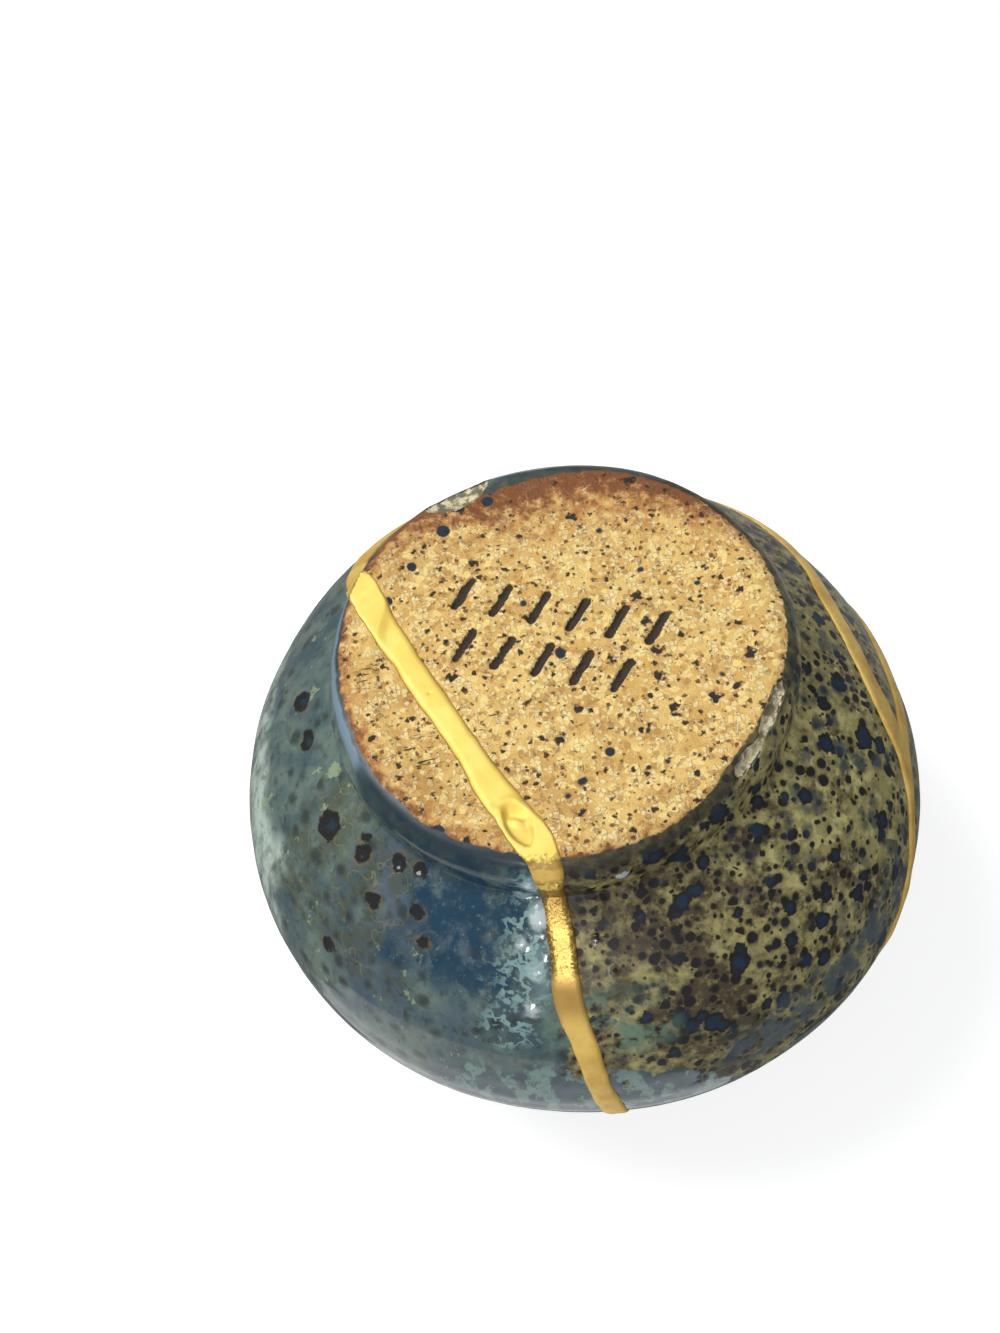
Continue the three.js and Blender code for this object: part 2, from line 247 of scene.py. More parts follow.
# Display colours of the finishes, each part 0 to 255
CLAY = {
    "ochre": (212, 168, 94), "sand": (232, 196, 118), "pale": (244, 218, 142), "cream": (250, 233, 174),
    "brown": (172, 124, 66), "dark": (122, 84, 46), "toast": (166, 98, 48), "scorch": (112, 58, 32),
    "pit": (66, 46, 30), "speck": (48, 40, 34), "blue_speck": (36, 46, 58), "stroke": (60, 50, 38),
    "chip": (228, 216, 178), "chip_shade": (124, 116, 90),
}
OLIVE = {
    "brown": (78, 68, 47), "olive": (160, 151, 96), "yellow": (194, 184, 122), "umber": (56, 48, 36),
    "dot": (28, 23, 25), "navy": (22, 46, 66), "edge": (48, 48, 38), "thin_edge": (72, 62, 46),
    # The last colour on the next line is a painted highlight for the olive side's blisters.
    "slate": (46, 60, 70), "slate_band": (76, 90, 96), "mist": (146, 154, 126), "painted_glint": (186, 198, 204),
}
SLATE = {
    "shade": (64, 84, 90), "grey_green": (102, 118, 108), "violet": (70, 87, 106), "rusty": (74, 78, 56),
    "brown": (44, 50, 46), "pale": (190, 206, 192), "frost": (120, 150, 140), "fleck": (146, 160, 122),
    # The first colour on the next line is painted for a highlight along the foot's rounded edge.
    "painted_highlight_blue": (122, 146, 162), "deep_blue": (12, 54, 76), "turquoise": (110, 136, 114),
    # The last colour on the next line is the blisters' milky glaze, painted brighter as a highlight.
    "teal": (46, 73, 86), "lace": (134, 164, 160), "milk": (104, 130, 136), "white": (206, 218, 218),
    "rusty_rim": (112, 94, 60), "crater": (33, 31, 30), "crater_middle": (34, 48, 60),
    "foot_blue": (20, 42, 54), "edge": (44, 52, 50), "thin_edge": (60, 62, 52), "thread": (150, 138, 94),
}
GILT = {
    "base": (246, 218, 112), "base_shade": (240, 206, 96), "ochre": (214, 172, 82), "bright": (226, 190, 102),
    "light_ochre": (238, 202, 108), "olive": (160, 124, 54), "brown": (122, 84, 34),
}
# Kinds of shader noise as (detail, roughness), from smooth to torn
DOT_EDGE = (1.0, 0.5)
SMOOTH = (2.0, 0.5)
SOFT = (3.0, 0.5)
SATIN = (3.0, 0.55)
PLAIN = (3.0, 0.6)
ROUGH = (3.0, 0.65)
GRITTY = (3.0, 0.7)
CRUMBLY = (4.0, 0.65)
FLECKED = (4.0, 0.68)
TORN = (4.0, 0.7)
# How far patterns are drawn out along x, y and the height
EVEN = (1, 1, 1)
RUN = (1, 1, 3)
FROST_RUN = (1, 1, 1.6)
FLECK_RUN = (1, 1, 1.8)
SCRATCH_LINES = (7, 1, 1)
# How a seed moves a pattern along x, y and the height
NOISE_SHIFT = (1, 1.7, 2.3)
CELL_SHIFT = (1, 1.3, 2.1)
# How wide the glaze's thin start at the foot is
SLATE_START = 2.4
OLIVE_START = 3.2

# The photograph's viewpoint: the camera's place, axes, sensor and lens, and its near clip in metres
CAMERA = {
    "at": (9.1, -124.9, -187.0),
    "right": (-0.9776, -0.1756, 0.1160),
    "up": (-0.2105, 0.8158, -0.5387),
    "back": (0.0, -0.5511, -0.8345),
    "sensor": 36.0,
    "lens": 40.51,
    "clip": 0.01,
}
# The stage, in metres: paper's grey and its own light, the floor, and a sheet at the mouth that fades out
PAPER = {"matt": (188, 188, 188), "lit": 0.72}
FLOOR = {"size": 1.4, "height": -0.0002}
SHEET = {"radius": 0.30, "solid": 0.16, "height": 0.0806}
# Soft studio lights: direction from the vase, distance and size in metres, and radiant power in watts
LIGHTS = {
    "key": {"from": (0.45, 0.25, -0.86), "far": 0.8, "size": 0.5, "power": 5.5},
    "spark": {"from": (0.25, -0.85, -0.46), "far": 0.8, "size": 0.14, "power": 1.6},
    "top": {"from": (0.35, -0.45, 0.82), "far": 1.0, "size": 1.4, "power": 3.5},
    "back": {"from": (-0.5, 0.8, 0.35), "far": 1.0, "size": 1.2, "power": 2},
}
MIDDLE = Vector((0, 0, 0.04))
# The studio's own light: its direction, how far round it the strength changes, and its strengths there
SKY = {
    "towards": (0.06, -0.56, -0.83), "turn": (-0.4, 0.8), "strength": (0.20, 0.40),
    "colour": (249.3, 251.6, 255),
}
WHITE = (255, 255, 255)


def clamp(value):
    return np.clip(value, 0.0, 1.0)


def smoothstep(low, high, value):
    share = clamp((value - low) / (high - low))
    return share * share * (3 - 2 * share)


def hump(value, middle, width):
    """1 at the middle, falling to 0 as a bell does."""
    return np.exp(-((value - middle) / width) ** 2)


def unit(vectors):
    return vectors / np.maximum(np.linalg.norm(vectors, axis=-1, keepdims=True), 1e-9)


def facing(azimuth, middle, half_width, softness):
    """1 within a range of azimuths, fading to 0 over a softness at both ends."""
    away = np.abs((azimuth - middle + 180) % 360 - 180)
    return 1 - smoothstep(half_width - softness / 2, half_width + softness / 2, away)


def on_side(azimuth, side):
    return facing(azimuth, *SIDES[side])


def turned(azimuth):
    """Unit vectors outwards from the axis at each azimuth."""
    angle = np.radians(azimuth)
    return np.stack([np.cos(angle), np.sin(angle), np.zeros_like(angle)], -1)


def along_and_across(points, middle, turn):
    """Each point's place in x and y from a middle, along and across a turned direction."""
    offset = points - np.array(middle)
    cos, sin = math.cos(math.radians(turn)), math.sin(math.radians(turn))
    return offset[:, 0] * cos + offset[:, 1] * sin, -offset[:, 0] * sin + offset[:, 1] * cos


def wavy(points, size, seed):
    """Smooth noise from about -1 to 1 at each point, with bumps of about the given size."""
    shift = Vector((seed * 17.3, seed * 5.1, seed * 9.7))
    return np.array([noise.noise(Vector(point) / size + shift) for point in points])


def waves(name, points):
    return sum(height * wavy(points, size, seed) for height, size, seed in WAVES[name])


def ellipse_arc(shape, first, last):
    """Outline points of the two half ellipses from one height to another."""
    def angle_at(height):
        half = shape["below"] if height < WIDEST else shape["above"]
        return math.asin(max(-1.0, min(1.0, (height - WIDEST) / half)))
    angles = np.linspace(angle_at(first), angle_at(last), ELLIPSE_POINTS)
    halves = np.where(angles < 0, shape["below"], shape["above"])
    return list(zip(shape["radius"] * np.cos(angles), WIDEST + halves * np.sin(angles)))


def ellipse_top(shape):
    share = shape["top_radius"] / shape["radius"]
    return WIDEST + shape["above"] * math.sqrt(1 - share * share)


def lengths_along(points):
    return np.concatenate([[0], np.cumsum(np.linalg.norm(np.diff(points, axis=0), axis=1))])


def softened(points):
    """An even, slightly rounded copy of an outline that starts and ends on the axis."""
    lengths = lengths_along(points)
    even = np.linspace(0, lengths[-1], int(lengths[-1] / OUTLINE_STEP))
    radius = np.interp(even, lengths, points[:, 0])
    height = np.interp(even, lengths, points[:, 1])
    reach = int(4 * CORNER_SOFTNESS / OUTLINE_STEP)
    weights = np.exp(-0.5 * (np.arange(-reach, reach + 1) * OUTLINE_STEP / CORNER_SOFTNESS) ** 2)
    weights /= weights.sum()
    mirrored = np.concatenate([-radius[reach:0:-1], radius, -radius[-2:-reach - 2:-1]])
    levels = np.concatenate([height[reach:0:-1], height, height[-2:-reach - 2:-1]])
    return np.stack([np.convolve(mirrored, weights, "valid"), np.convolve(levels, weights, "valid")], 1)


class Outline:
    """The outline by arc length from the base's centre to the lip, with the inner wall matched to it."""

    def __init__(self):
        whole = softened(np.array(
            BASE_OUTSIDE
            + ellipse_arc(BELLY, BELLY["from"], ellipse_top(BELLY))
            + NECK_OUTSIDE
            + NECK_INSIDE
            + ellipse_arc(HOLLOW, ellipse_top(HOLLOW), HOLLOW["from"])
        ))
        lip = int(np.argmax(whole[:, 1]))
        self.outer = whole[: lip + 1]
        self.arc = lengths_along(self.outer)
        self.total = self.arc[-1]
        self.outer_normal = self.normals(self.outer)
        self.inner = whole[lip:][::-1]
        self.inner_arc = lengths_along(self.inner)
        self.inner_normal = -self.normals(self.inner)
        self.inner_of_outer = self.matched()

    @staticmethod
    def normals(points):
        along = unit(np.gradient(points, axis=0))
        return np.stack([along[:, 1], -along[:, 0]], 1)

    def matched(self):
        """For each outer point, the arc length of the inner point across the wall."""
        nearest = np.array([np.argmin(((self.inner - point) ** 2).sum(1)) for point in self.outer])
        lengths = np.maximum.accumulate(self.inner_arc[nearest])
        reach = MATCHING["reach"]
        window = np.hanning(2 * reach + 1)
        padded = np.pad(lengths, reach, mode="edge")
        lengths = np.convolve(padded, window / window.sum(), "valid")
        share = self.arc / self.total
        start, end = lengths[0], self.inner_arc[-1] - lengths[-1]
        eased = end * share ** MATCHING["end_power"] - start * (1 - share) ** MATCHING["start_power"]
        return np.maximum.accumulate(lengths + eased)

    def arc_at_height(self, height):
        start = np.argmax(self.outer[:, 1] > BASE_TOP)
        return float(np.interp(height, self.outer[start:, 1], self.arc[start:]))

    def arc_at_radius(self, radius):
        end = np.argmax(self.outer[:, 0] > FOOT_RADIUS)
        return float(np.interp(radius, self.outer[:end, 0], self.arc[:end]))

    def place(self, azimuth, arc, inside=False):
        """Points and outward unit normals of the calm outer or inner face."""
        if inside:
            keys, points, normals = self.inner_arc, self.inner, self.inner_normal
            arc = np.interp(arc, self.arc, self.inner_of_outer)
        else:
            keys, points, normals = self.arc, self.outer, self.outer_normal
        height = np.interp(arc, keys, points[:, 1])
        radius = np.interp(arc, keys, points[:, 0]) * out_of_round(azimuth, height)
        around = turned(azimuth)
        point = around * radius[..., None]
        point[..., 2] = height
        normal = around * np.interp(arc, keys, normals[:, 0])[..., None]
        normal[..., 2] = np.interp(arc, keys, normals[:, 1])
        return point, unit(normal)


def out_of_round(azimuth, height):
    """How much larger than its round outline the pot is."""
    def share(lobes):
        return sum(part * np.cos(np.radians(count * (azimuth - crest))) for count, part, crest in lobes)
    belly = clamp((height - FOOT_BLEND["from"]) / FOOT_BLEND["over"])
    foot = share(FOOT_LOBES) + FOOT_BULGE * on_side(azimuth, "foot_bulge")
    return 1 + belly * share(BELLY_LOBES) + (1 - belly) * foot


POT = Outline()


def wall_point(azimuth, height):
    """The point of the calm outer wall at an azimuth and a height."""
    point, _ = POT.place(np.array([float(azimuth)]), np.array([POT.arc_at_height(height)]))
    return point[0]


def rows_of_arc():
    rows = [0.0]
    for end, step in ROW_STEPS:
        while rows[-1] < min(end, POT.total):
            rows.append(rows[-1] + step)
    rows = np.array(rows)
    return rows * POT.total / rows[-1]


def smooth_route(points):
    """Points of a Catmull-Rom curve through a route of (azimuth, arc, width)."""
    points = np.array(points, float)
    padded = np.vstack([2 * points[0] - points[1], points, 2 * points[-1] - points[-2]])
    steps = np.linspace(0, 1, ROUTE_POINTS, endpoint=False)[:, None]
    parts = []
    for i in range(len(points) - 1):
        before, start, end, after = padded[i : i + 4]
        parts.append(0.5 * (
            2 * start
            + (end - before) * steps
            + (2 * before - 5 * start + 4 * end - after) * steps ** 2
            + (3 * start - before - 3 * end + after) * steps ** 3
        ))
    return np.vstack([*parts, points[-1]])


def on_wall(route, turns=0):
    """A route on the wall as (azimuth, arc, width)."""
    places = []
    for azimuth, height, width in route:
        arc = POT.total if height > HEIGHT else POT.arc_at_height(height)
        places.append((azimuth + 360 * turns, arc, width))
    return places


def on_base(route):
    """A route across the base as (azimuth, arc, width), with azimuths that follow the front seam's."""
    places = []
    for x, y, width in route:
        azimuth = math.degrees(math.atan2(y, x))
        while azimuth < 270:
            azimuth += 360
        share = out_of_round(np.array(azimuth), np.array(0.0))
        places.append((azimuth, POT.arc_at_radius(math.hypot(x, y) / share), width))
    return places


class Seam:
    """A seam as evenly spaced stations on the calm outer face."""

    def __init__(self, route, seed):
        dense = smooth_route(route)
        points, _ = POT.place(dense[:, 0], dense[:, 1])
        lengths = lengths_along(points)
        even = np.linspace(0, lengths[-1], int(lengths[-1] / SEAM_STEP))
        self.azimuth, self.arc, self.width = (np.interp(even, lengths, dense[:, i]) for i in range(3))
        line = np.stack([even, np.zeros_like(even), np.zeros_like(even)], 1)
        waviness = 1
        for i, (share, size) in enumerate(SEAM_WAVES.values()):
            waviness = waviness + share * wavy(line, size, seed + i)
        self.width *= waviness
        self.point, _ = POT.place(self.azimuth, self.arc)
        self.tree = kdtree.KDTree(len(even))
        for i, point in enumerate(self.point):
            self.tree.insert(Vector(point), i)
        self.tree.balance()

    def half_width(self, index, hidden):
        return np.maximum(self.width[index] / 2 - hidden, NARROWEST_HALF)

    def nearest(self, points):
        """The nearest station to each point, and the distance to it."""
        found = [self.tree.find(Vector(point)) for point in points]
        index = np.array([entry[1] for entry in found])
        return index, np.array([entry[2] for entry in found])


LONG_ROUTE = on_wall(FRONT_SEAM) + on_base(BASE_SEAM) + on_wall(ROUND_SEAM, turns=1)
SEAMS = [Seam(LONG_ROUTE, seed=3), Seam(on_wall(BRANCH_SEAM), seed=11)]


def edge_gap(points, hidden=0.0):
    """How far each point is outside the gold, once the gold's sides are drawn in by what is hidden."""
    gaps = []
    for seam in SEAMS:
        index, distance = seam.nearest(points)
        gaps.append(distance - seam.half_width(index, hidden))
    return np.min(gaps, axis=0)


def glaze_line(azimuth):
    """Arc length at which the glaze starts, a wandering line at the foot's edge."""
    line = np.interp(azimuth, *zip(*GLAZE_LINE), period=360)
    return line + waves("glaze_line", turned(azimuth) * GLAZE_LINE_RADIUS)


def gap_to_discs(points, discs):
    """How deep each point is inside the nearest disc, below zero outside."""
    depth = np.full(len(points), OUTSIDE_DISCS)
    for centre, radius in discs:
        depth = np.maximum(depth, radius - np.linalg.norm(points - centre, axis=1))
    return depth


def wall_discs(places):
    return [(wall_point(azimuth, height), radius) for azimuth, height, radius in places]


def base_discs(places):
    return [(np.array([x, y, DISC_HEIGHT]), radius) for x, y, radius in places]


def stroke_depth(points):
    """0 to 1 across the strokes cut into the base: 1 along the middle of each."""
    depth = np.zeros(len(points))
    wobble = waves("stroke", points)
    for row in STROKE_ROWS:
        for i in range(row["count"]):
            centre = np.array(row["first"]) + i * np.array(STROKE["step"])
            across, along = along_and_across(points[:, :2], centre, STROKE["lean"])
            reach = np.maximum(np.abs(along) - (STROKE["length"] - STROKE["width"]) / 2, 0)
            distance = np.hypot(reach, across) + wobble
            side = smoothstep(STROKE["full"], STROKE["width"] / 2 + STROKE["soft"], distance)
            depth = np.maximum(depth, 1 - side)
    return depth * (points[:, 2] < BASE_TOP)


def chip_depth(points):
    """How deep each point lies inside a chip's bite."""
    depth = np.zeros(len(points))
    for chip in CHIPS:
        along, across = along_and_across(points, chip["at"], chip["turn"])
        local = np.stack([along, across, points[:, 2] - chip["at"][2]], 1) / np.array(chip["size"])
        inside = clamp(1 - (local ** 2).sum(1))
        depth = np.maximum(depth, min(chip["size"]) * np.sqrt(inside))
    return depth


def scattered_bumps(points, count, seed, sizes, heights):
    """Small round bumps or pits at random places on the bare clay."""
    random = np.random.default_rng(seed)
    relief = np.zeros(len(points))
    centres = random.uniform(*CLAY_AREA, (count, 2))
    radii = random.uniform(*sizes, count)
    rises = random.uniform(*heights, count)
    for centre, radius, rise in zip(centres, radii, rises):
        near = np.abs(points[:, 0] - centre[0]) < radius
        near &= np.abs(points[:, 1] - centre[1]) < radius
        distance = np.hypot(*(points[near, :2] - centre).T)
        relief[near] += rise * (1 - smoothstep(0.2 * radius, radius, distance))
    return relief


def calm_relief(azimuth, arc, points):
    """Throwing rings and the glaze's thickness: what the gold lies on."""
    winding = arc + RINGS["climb"] * azimuth / 360
    wall = smoothstep(*RINGS["start"], arc) * (1 - smoothstep(POT.total - RINGS["end"], POT.total, arc))
    swing = RINGS["swing"] * np.sin(winding / RINGS["swing_length"])
    rings = RINGS["height"] * np.sin(winding * 2 * np.pi / RINGS["pitch"] + swing)
    past_line = arc - glaze_line(azimuth)
    glaze = GLAZE_EDGE["height"] * smoothstep(*GLAZE_EDGE["over"], past_line)
    bead = GLAZE_EDGE["bead"] * hump(past_line, GLAZE_EDGE["bead_at"], GLAZE_EDGE["bead_width"])
    return (rings + waves("wall", points)) * wall + glaze + bead


def outer_relief(azimuth, arc, points, gold_gap):
    """How far the shards' outer face stands off the calm outline."""
    relief = calm_relief(azimuth, arc, points)
    clay = smoothstep(*CLAY_EDGE, arc - glaze_line(azimuth))
    relief -= STROKE["depth"] * stroke_depth(points)
    relief -= CHIP_BITE * chip_depth(points)
    relief += clay * clay_relief(points)
    relief += (1 - clay) * glaze_relief(azimuth, points)
    return relief - UNDER_GOLD * smoothstep(0.1, -0.4, gold_gap)


def clay_relief(points):
    """Coarse grains, pits where grains fell out, and turning marks on the bare clay."""
    grains = scattered_bumps(points, **GRAINS)
    pits = scattered_bumps(points, **PITS)
    radius = np.hypot(points[:, 0] - TURNING["centre"][0], points[:, 1] - TURNING["centre"][1])
    turning = TURNING["height"] * np.sin(radius * 2 * np.pi / TURNING["pitch"] + waves("turning", points))
    return grains + pits + turning + waves("clay", points)


def glaze_relief(azimuth, points):
    """Craters with raised rims, blisters beside the front seam and the glaze's slight orange peel."""
    inside = gap_to_discs(points, wall_discs(CRATERS))
    craters = CRATER["rim"] * hump(inside, CRATER["rim_at"], CRATER["rim_width"])
    craters -= CRATER["depth"] * smoothstep(*CRATER["edge"], inside)
    domes = BLISTER["height"] * smoothstep(*BLISTER["edge"], gap_to_discs(points, wall_discs(BLISTERS)))
    crust = CRUST["height"] * crust_share(azimuth, points)
    crust *= smoothstep(*CRUST["edge"], waves("crust", points))
    return craters + domes + crust + waves("orange_peel", points)


def crust_share(azimuth, points):
    """1 in the strip of crusted, milky glaze on the left of the front seam, 0 away from it."""
    height = points[:, 2]
    along = smoothstep(*CRUST["from"], height) * (1 - smoothstep(*CRUST["to"], height))
    return along * hump((azimuth - CRUST["azimuth"]) % 360, 0, CRUST["turn"])


def inner_relief(azimuth, arc, points):
    winding = arc + INNER_RINGS["climb"] * azimuth / 360
    rings = INNER_RINGS["height"] * np.sin(winding * 2 * np.pi / INNER_RINGS["pitch"])
    start, end = INNER_RINGS["end"]
    fade = 1 - smoothstep(POT.total - start, POT.total - end, arc)
    return fade * (rings + waves("inner_wall", points))


def outer_face(azimuth, arc):
    """Points of the outer face with its relief, the calm points under them, and their gaps to the gold."""
    points, normals = POT.place(azimuth, arc)
    gold_gap = edge_gap(points)
    raised = points + normals * outer_relief(azimuth, arc, points, gold_gap)[:, None]
    return raised, points, gold_gap


def inner_face(azimuth, arc, raised=0.0):
    points, normals = POT.place(azimuth, arc, inside=True)
    return points + normals * (raised + inner_relief(azimuth, arc, points))[:, None]


class Grid:
    """Columns and rows over the whole face of the pot, and the cells between them."""

    def __init__(self, columns, rows):
        self.columns = columns
        self.rows = rows
        self.cell_azimuth = (np.arange(columns) + 0.5) * 360 / columns
        self.cell_arc = (rows[1:] + rows[:-1]) / 2

    def cell_places(self, cells):
        column, row = np.where(cells)
        return self.cell_azimuth[column], self.cell_arc[row]


def joined_cells(cells, start):
    """The cells that can be reached from one without leaving the given ones."""
    found = np.zeros(cells.shape, bool)
    found[start] = True
    queue = deque([start])
    columns, rows = cells.shape
    while queue:
        column, row = queue.popleft()
        sideways = [((column + 1) % columns, row), ((column - 1) % columns, row)]
        for cell in sideways + [(column, row + 1), (column, row - 1)]:
            if 0 <= cell[1] < rows and cells[cell] and not found[cell]:
                found[cell] = True
                queue.append(cell)
    return found


def without_corner_touches(cells):
    """Drops cells until no two of them meet at a corner alone, which would pinch the surface there."""
    while True:
        beside = np.roll(cells, -1, axis=0)
        rising = cells[:, :-1] & beside[:, 1:] & ~beside[:, :-1] & ~cells[:, 1:]
        falling = beside[:, :-1] & cells[:, 1:] & ~cells[:, :-1] & ~beside[:, 1:]
        if not (rising.any() or falling.any()):
            return cells
        cells = cells.copy()
        cells[:, :-1] &= ~rising
        cells[:, 1:] &= ~falling


def shard_cells(grid):
    """For each shard, the cells of the grid that lie on it."""
    open_cells = np.ones((grid.columns, len(grid.cell_arc)), bool)
    points, _ = POT.place(*grid.cell_places(open_cells))
    open_cells &= (edge_gap(points, SHARD_OVERLAP) > 0).reshape(open_cells.shape)
    shards = {}
    for name, shard in SHARDS.items():
        nearest = np.argmin(((points - wall_point(*shard["place"])) ** 2).sum(1))
        start = tuple(int(i) for i in np.unravel_index(nearest, open_cells.shape))
        shards[name] = without_corner_touches(joined_cells(open_cells, start))
    return shards


def near_seams(grid):
    """The cells of a grid within reach of a seam."""
    near = np.zeros((grid.columns, len(grid.cell_arc)), bool)
    reach = GOLD_GRID["reach"]
    for seam in SEAMS:
        for azimuth, arc, point in zip(seam.azimuth, seam.arc, seam.point):
            radius = max(math.hypot(point[0], point[1]), GOLD_GRID["least_radius"])
            turn = math.degrees(reach / radius)
            first, last = (int(side * grid.columns / 360) for side in (azimuth - turn, azimuth + turn))
            bottom, top = np.searchsorted(grid.cell_arc, (arc - reach, arc + reach))
            near[np.arange(first, last + 1) % grid.columns, bottom:top] = True
    return near


def gold_cells(grid):
    """The cells of a fine grid that the gold covers."""
    near = near_seams(grid)
    points, _ = POT.place(*grid.cell_places(near))
    covered = np.zeros_like(near)
    covered[near] = edge_gap(points) < 0
    start = tuple(int(i[0]) for i in np.where(covered))
    return without_corner_touches(joined_cells(covered, start))


def snapped_to_edge(azimuth, arc, edge, hidden):
    """Moves the vertices along an edge onto the smooth line of a seam's side."""
    azimuth, arc = azimuth.copy(), arc.copy()
    points, _ = POT.place(azimuth[edge], arc[edge])
    found = [seam.nearest(points) for seam in SEAMS]
    halves = [seam.half_width(index, hidden) for seam, (index, _) in zip(SEAMS, found)]
    on_branch = found[1][1] - halves[1] < found[0][1] - halves[0]
    ids = np.where(edge)[0]
    for seam, (index, distance), half, chosen in zip(SEAMS, found, halves, (~on_branch, on_branch)):
        chosen = chosen & (distance > SNAP_FROM)
        at, here = index[chosen], ids[chosen]
        move = 1 - half[chosen] / distance[chosen]
        azimuth[here] += move * ((seam.azimuth[at] - azimuth[here] + 180) % 360 - 180)
        arc[here] += move * (seam.arc[at] - arc[here])
    return azimuth, np.clip(arc, 0.0, POT.total)


class Skin:
    """A closed surface over some cells of a grid: their outer faces, inner faces and the edges between."""

    def __init__(self, grid, cells, hidden):
        self.columns, self.rows = grid.columns, len(grid.rows)
        self.cells = cells
        self.faces = []
        self.kinds = []
        self.add_faces()
        self.keep_used(grid, hidden)

    def corner(self, column, row, inside):
        """A vertex's number; the base's centre and the lip each stand for shared points."""
        column = 0 if row == 0 else column % self.columns
        inside = inside and row < self.rows - 1
        return (column * self.rows + row) * 2 + int(inside)

    def add(self, kind, *corners):
        ring = [corner for i, corner in enumerate(corners) if corner != corners[i - 1]]
        if len(ring) >= 3:
            self.faces.append(ring)
            self.kinds.append(kind)

    def add_faces(self):
        for column, row in zip(*(places.tolist() for places in np.where(self.cells))):
            ends = [(column, row), (column + 1, row), (column + 1, row + 1), (column, row + 1)]
            outer = [self.corner(*end, False) for end in ends]
            inner = [self.corner(*end, True) for end in ends]
            self.add(OUTSIDE, *outer)
            self.add(INSIDE, *inner[::-1])
            for near, is_open in enumerate(self.open_sides(column, row)):
                if is_open:
                    far = (near + 1) % 4
                    self.add(BROKEN, outer[far], outer[near], inner[near], inner[far])

    def open_sides(self, column, row):
        """Whether each side of a cell is an edge of the skin, in the order of its corners."""
        cells, last = self.cells, self.cells.shape[1] - 1
        return [
            row > 0 and not cells[column, row - 1],
            not cells[(column + 1) % self.columns, row],
            row < last and not cells[column, row + 1],
            not cells[column - 1, row],
        ]

    def keep_used(self, grid, hidden):
        """Keeps only the vertices that faces use, and finds their places."""
        used = np.unique(np.concatenate([np.array(ring) for ring in self.faces]))
        renumber = np.full(self.columns * self.rows * 2, -1)
        renumber[used] = np.arange(len(used))
        self.faces = [renumber[ring].tolist() for ring in self.faces]
        on_edge = np.zeros(len(used), bool)
        for ring, kind in zip(self.faces, self.kinds):
            if kind == BROKEN:
                on_edge[ring] = True
        self.inside = used % 2 == 1
        column, row = np.divmod(used // 2, self.rows)
        azimuth = column * 360.0 / self.columns
        self.azimuth, self.arc = snapped_to_edge(azimuth, grid.rows[row], on_edge, hidden)


def finish_fields(azimuth, arc, calm, gold_gap):
    """What the materials need to know at each point of the outer face."""
    spot_shape = waves("spot", calm)
    fields = {
        "past_glaze_line": arc - glaze_line(azimuth),
        "gold_gap": gold_gap,
        "scratched": clamp(gap_to_discs(calm, base_discs(SCRATCHED)) / 2),
        "iron_spot": gap_to_discs(calm, wall_discs(GLAZE_SPOTS)) + spot_shape,
        "crater": gap_to_discs(calm, wall_discs(CRATERS)) + spot_shape,
        "blister": gap_to_discs(calm, wall_discs(BLISTERS)),
        "clay_spot": gap_to_discs(calm, base_discs(CLAY_SPOTS)) + 0.7 * spot_shape,
        "stroke": stroke_depth(calm),
        "chip": chip_depth(calm),
        "toast": toast_share(azimuth, arc),
        "olive": olive_share(azimuth, calm),
        "olive_lean": on_side(azimuth, "light_olive"),
    }
    wander = waves("zone", calm)
    for name, zone in ZONES.items():
        fields[name] = zone_share(azimuth, calm[:, 2] + wander, wander, zone)
    return fields


def zone_share(azimuth, height, wander, zone):
    """1 inside a zone and 0 outside it, with a wandering soft edge."""
    first, last, low, high = zone
    half_width = (last - first) / 2
    side = facing(azimuth + 2 * wander, first + half_width, half_width, ZONE_SOFTNESS["azimuth"])
    soft = ZONE_SOFTNESS["height"] / 2
    above = smoothstep(low - soft, low + soft, height)
    return side * above * (1 - smoothstep(high - soft, high + soft, height))


def toast_share(azimuth, arc):
    """How strongly the fire browned the clay: in a ring at the glaze line, widest at the back."""
    def summed(parts):
        return sum(part if side == "all" else part * on_side(azimuth, side) for side, part in parts.items())
    inwards = np.maximum(glaze_line(azimuth) - arc, 0)
    return summed(TOAST_STRENGTH) * np.exp(-inwards / summed(TOAST_REACH))


def olive_share(azimuth, points):
    """The olive side of the pot, which gives way to slate towards the belly."""
    top = OLIVE_TOP["height"] - OLIVE_TOP["lower"] * on_side(azimuth, "low_olive")
    height = points[:, 2] + waves("olive", points)
    below_top = 1 - smoothstep(top - OLIVE_TOP["soft"], top + OLIVE_TOP["soft"], height)
    return on_side(azimuth, "olive") * below_top


def make_mesh(name, points, faces, kinds, materials, sharp):
    """A smooth piece with edges sharper than an angle kept."""
    mesh = bpy.data.meshes.new(name)
    points[:, 2] = np.clip(points[:, 2], 0.0, HEIGHT)
    mesh.from_pydata((points * MM).tolist(), [], faces)
    for material in materials:
        mesh.materials.append(material)
    mesh.polygons.foreach_set("material_index", np.array(kinds, np.int32))
    mesh.shade_smooth()
    mesh.update()
    mesh.set_sharp_from_angle(angle=math.radians(sharp))
    piece = bpy.data.objects.new(name, mesh)
    bpy.context.scene.collection.objects.link(piece)
    return piece


def add_fields(mesh, fields):
    for name, values in fields.items():
        attribute = mesh.attributes.new(name, "FLOAT", "POINT")
        attribute.data.foreach_set("value", values.astype(np.float32))


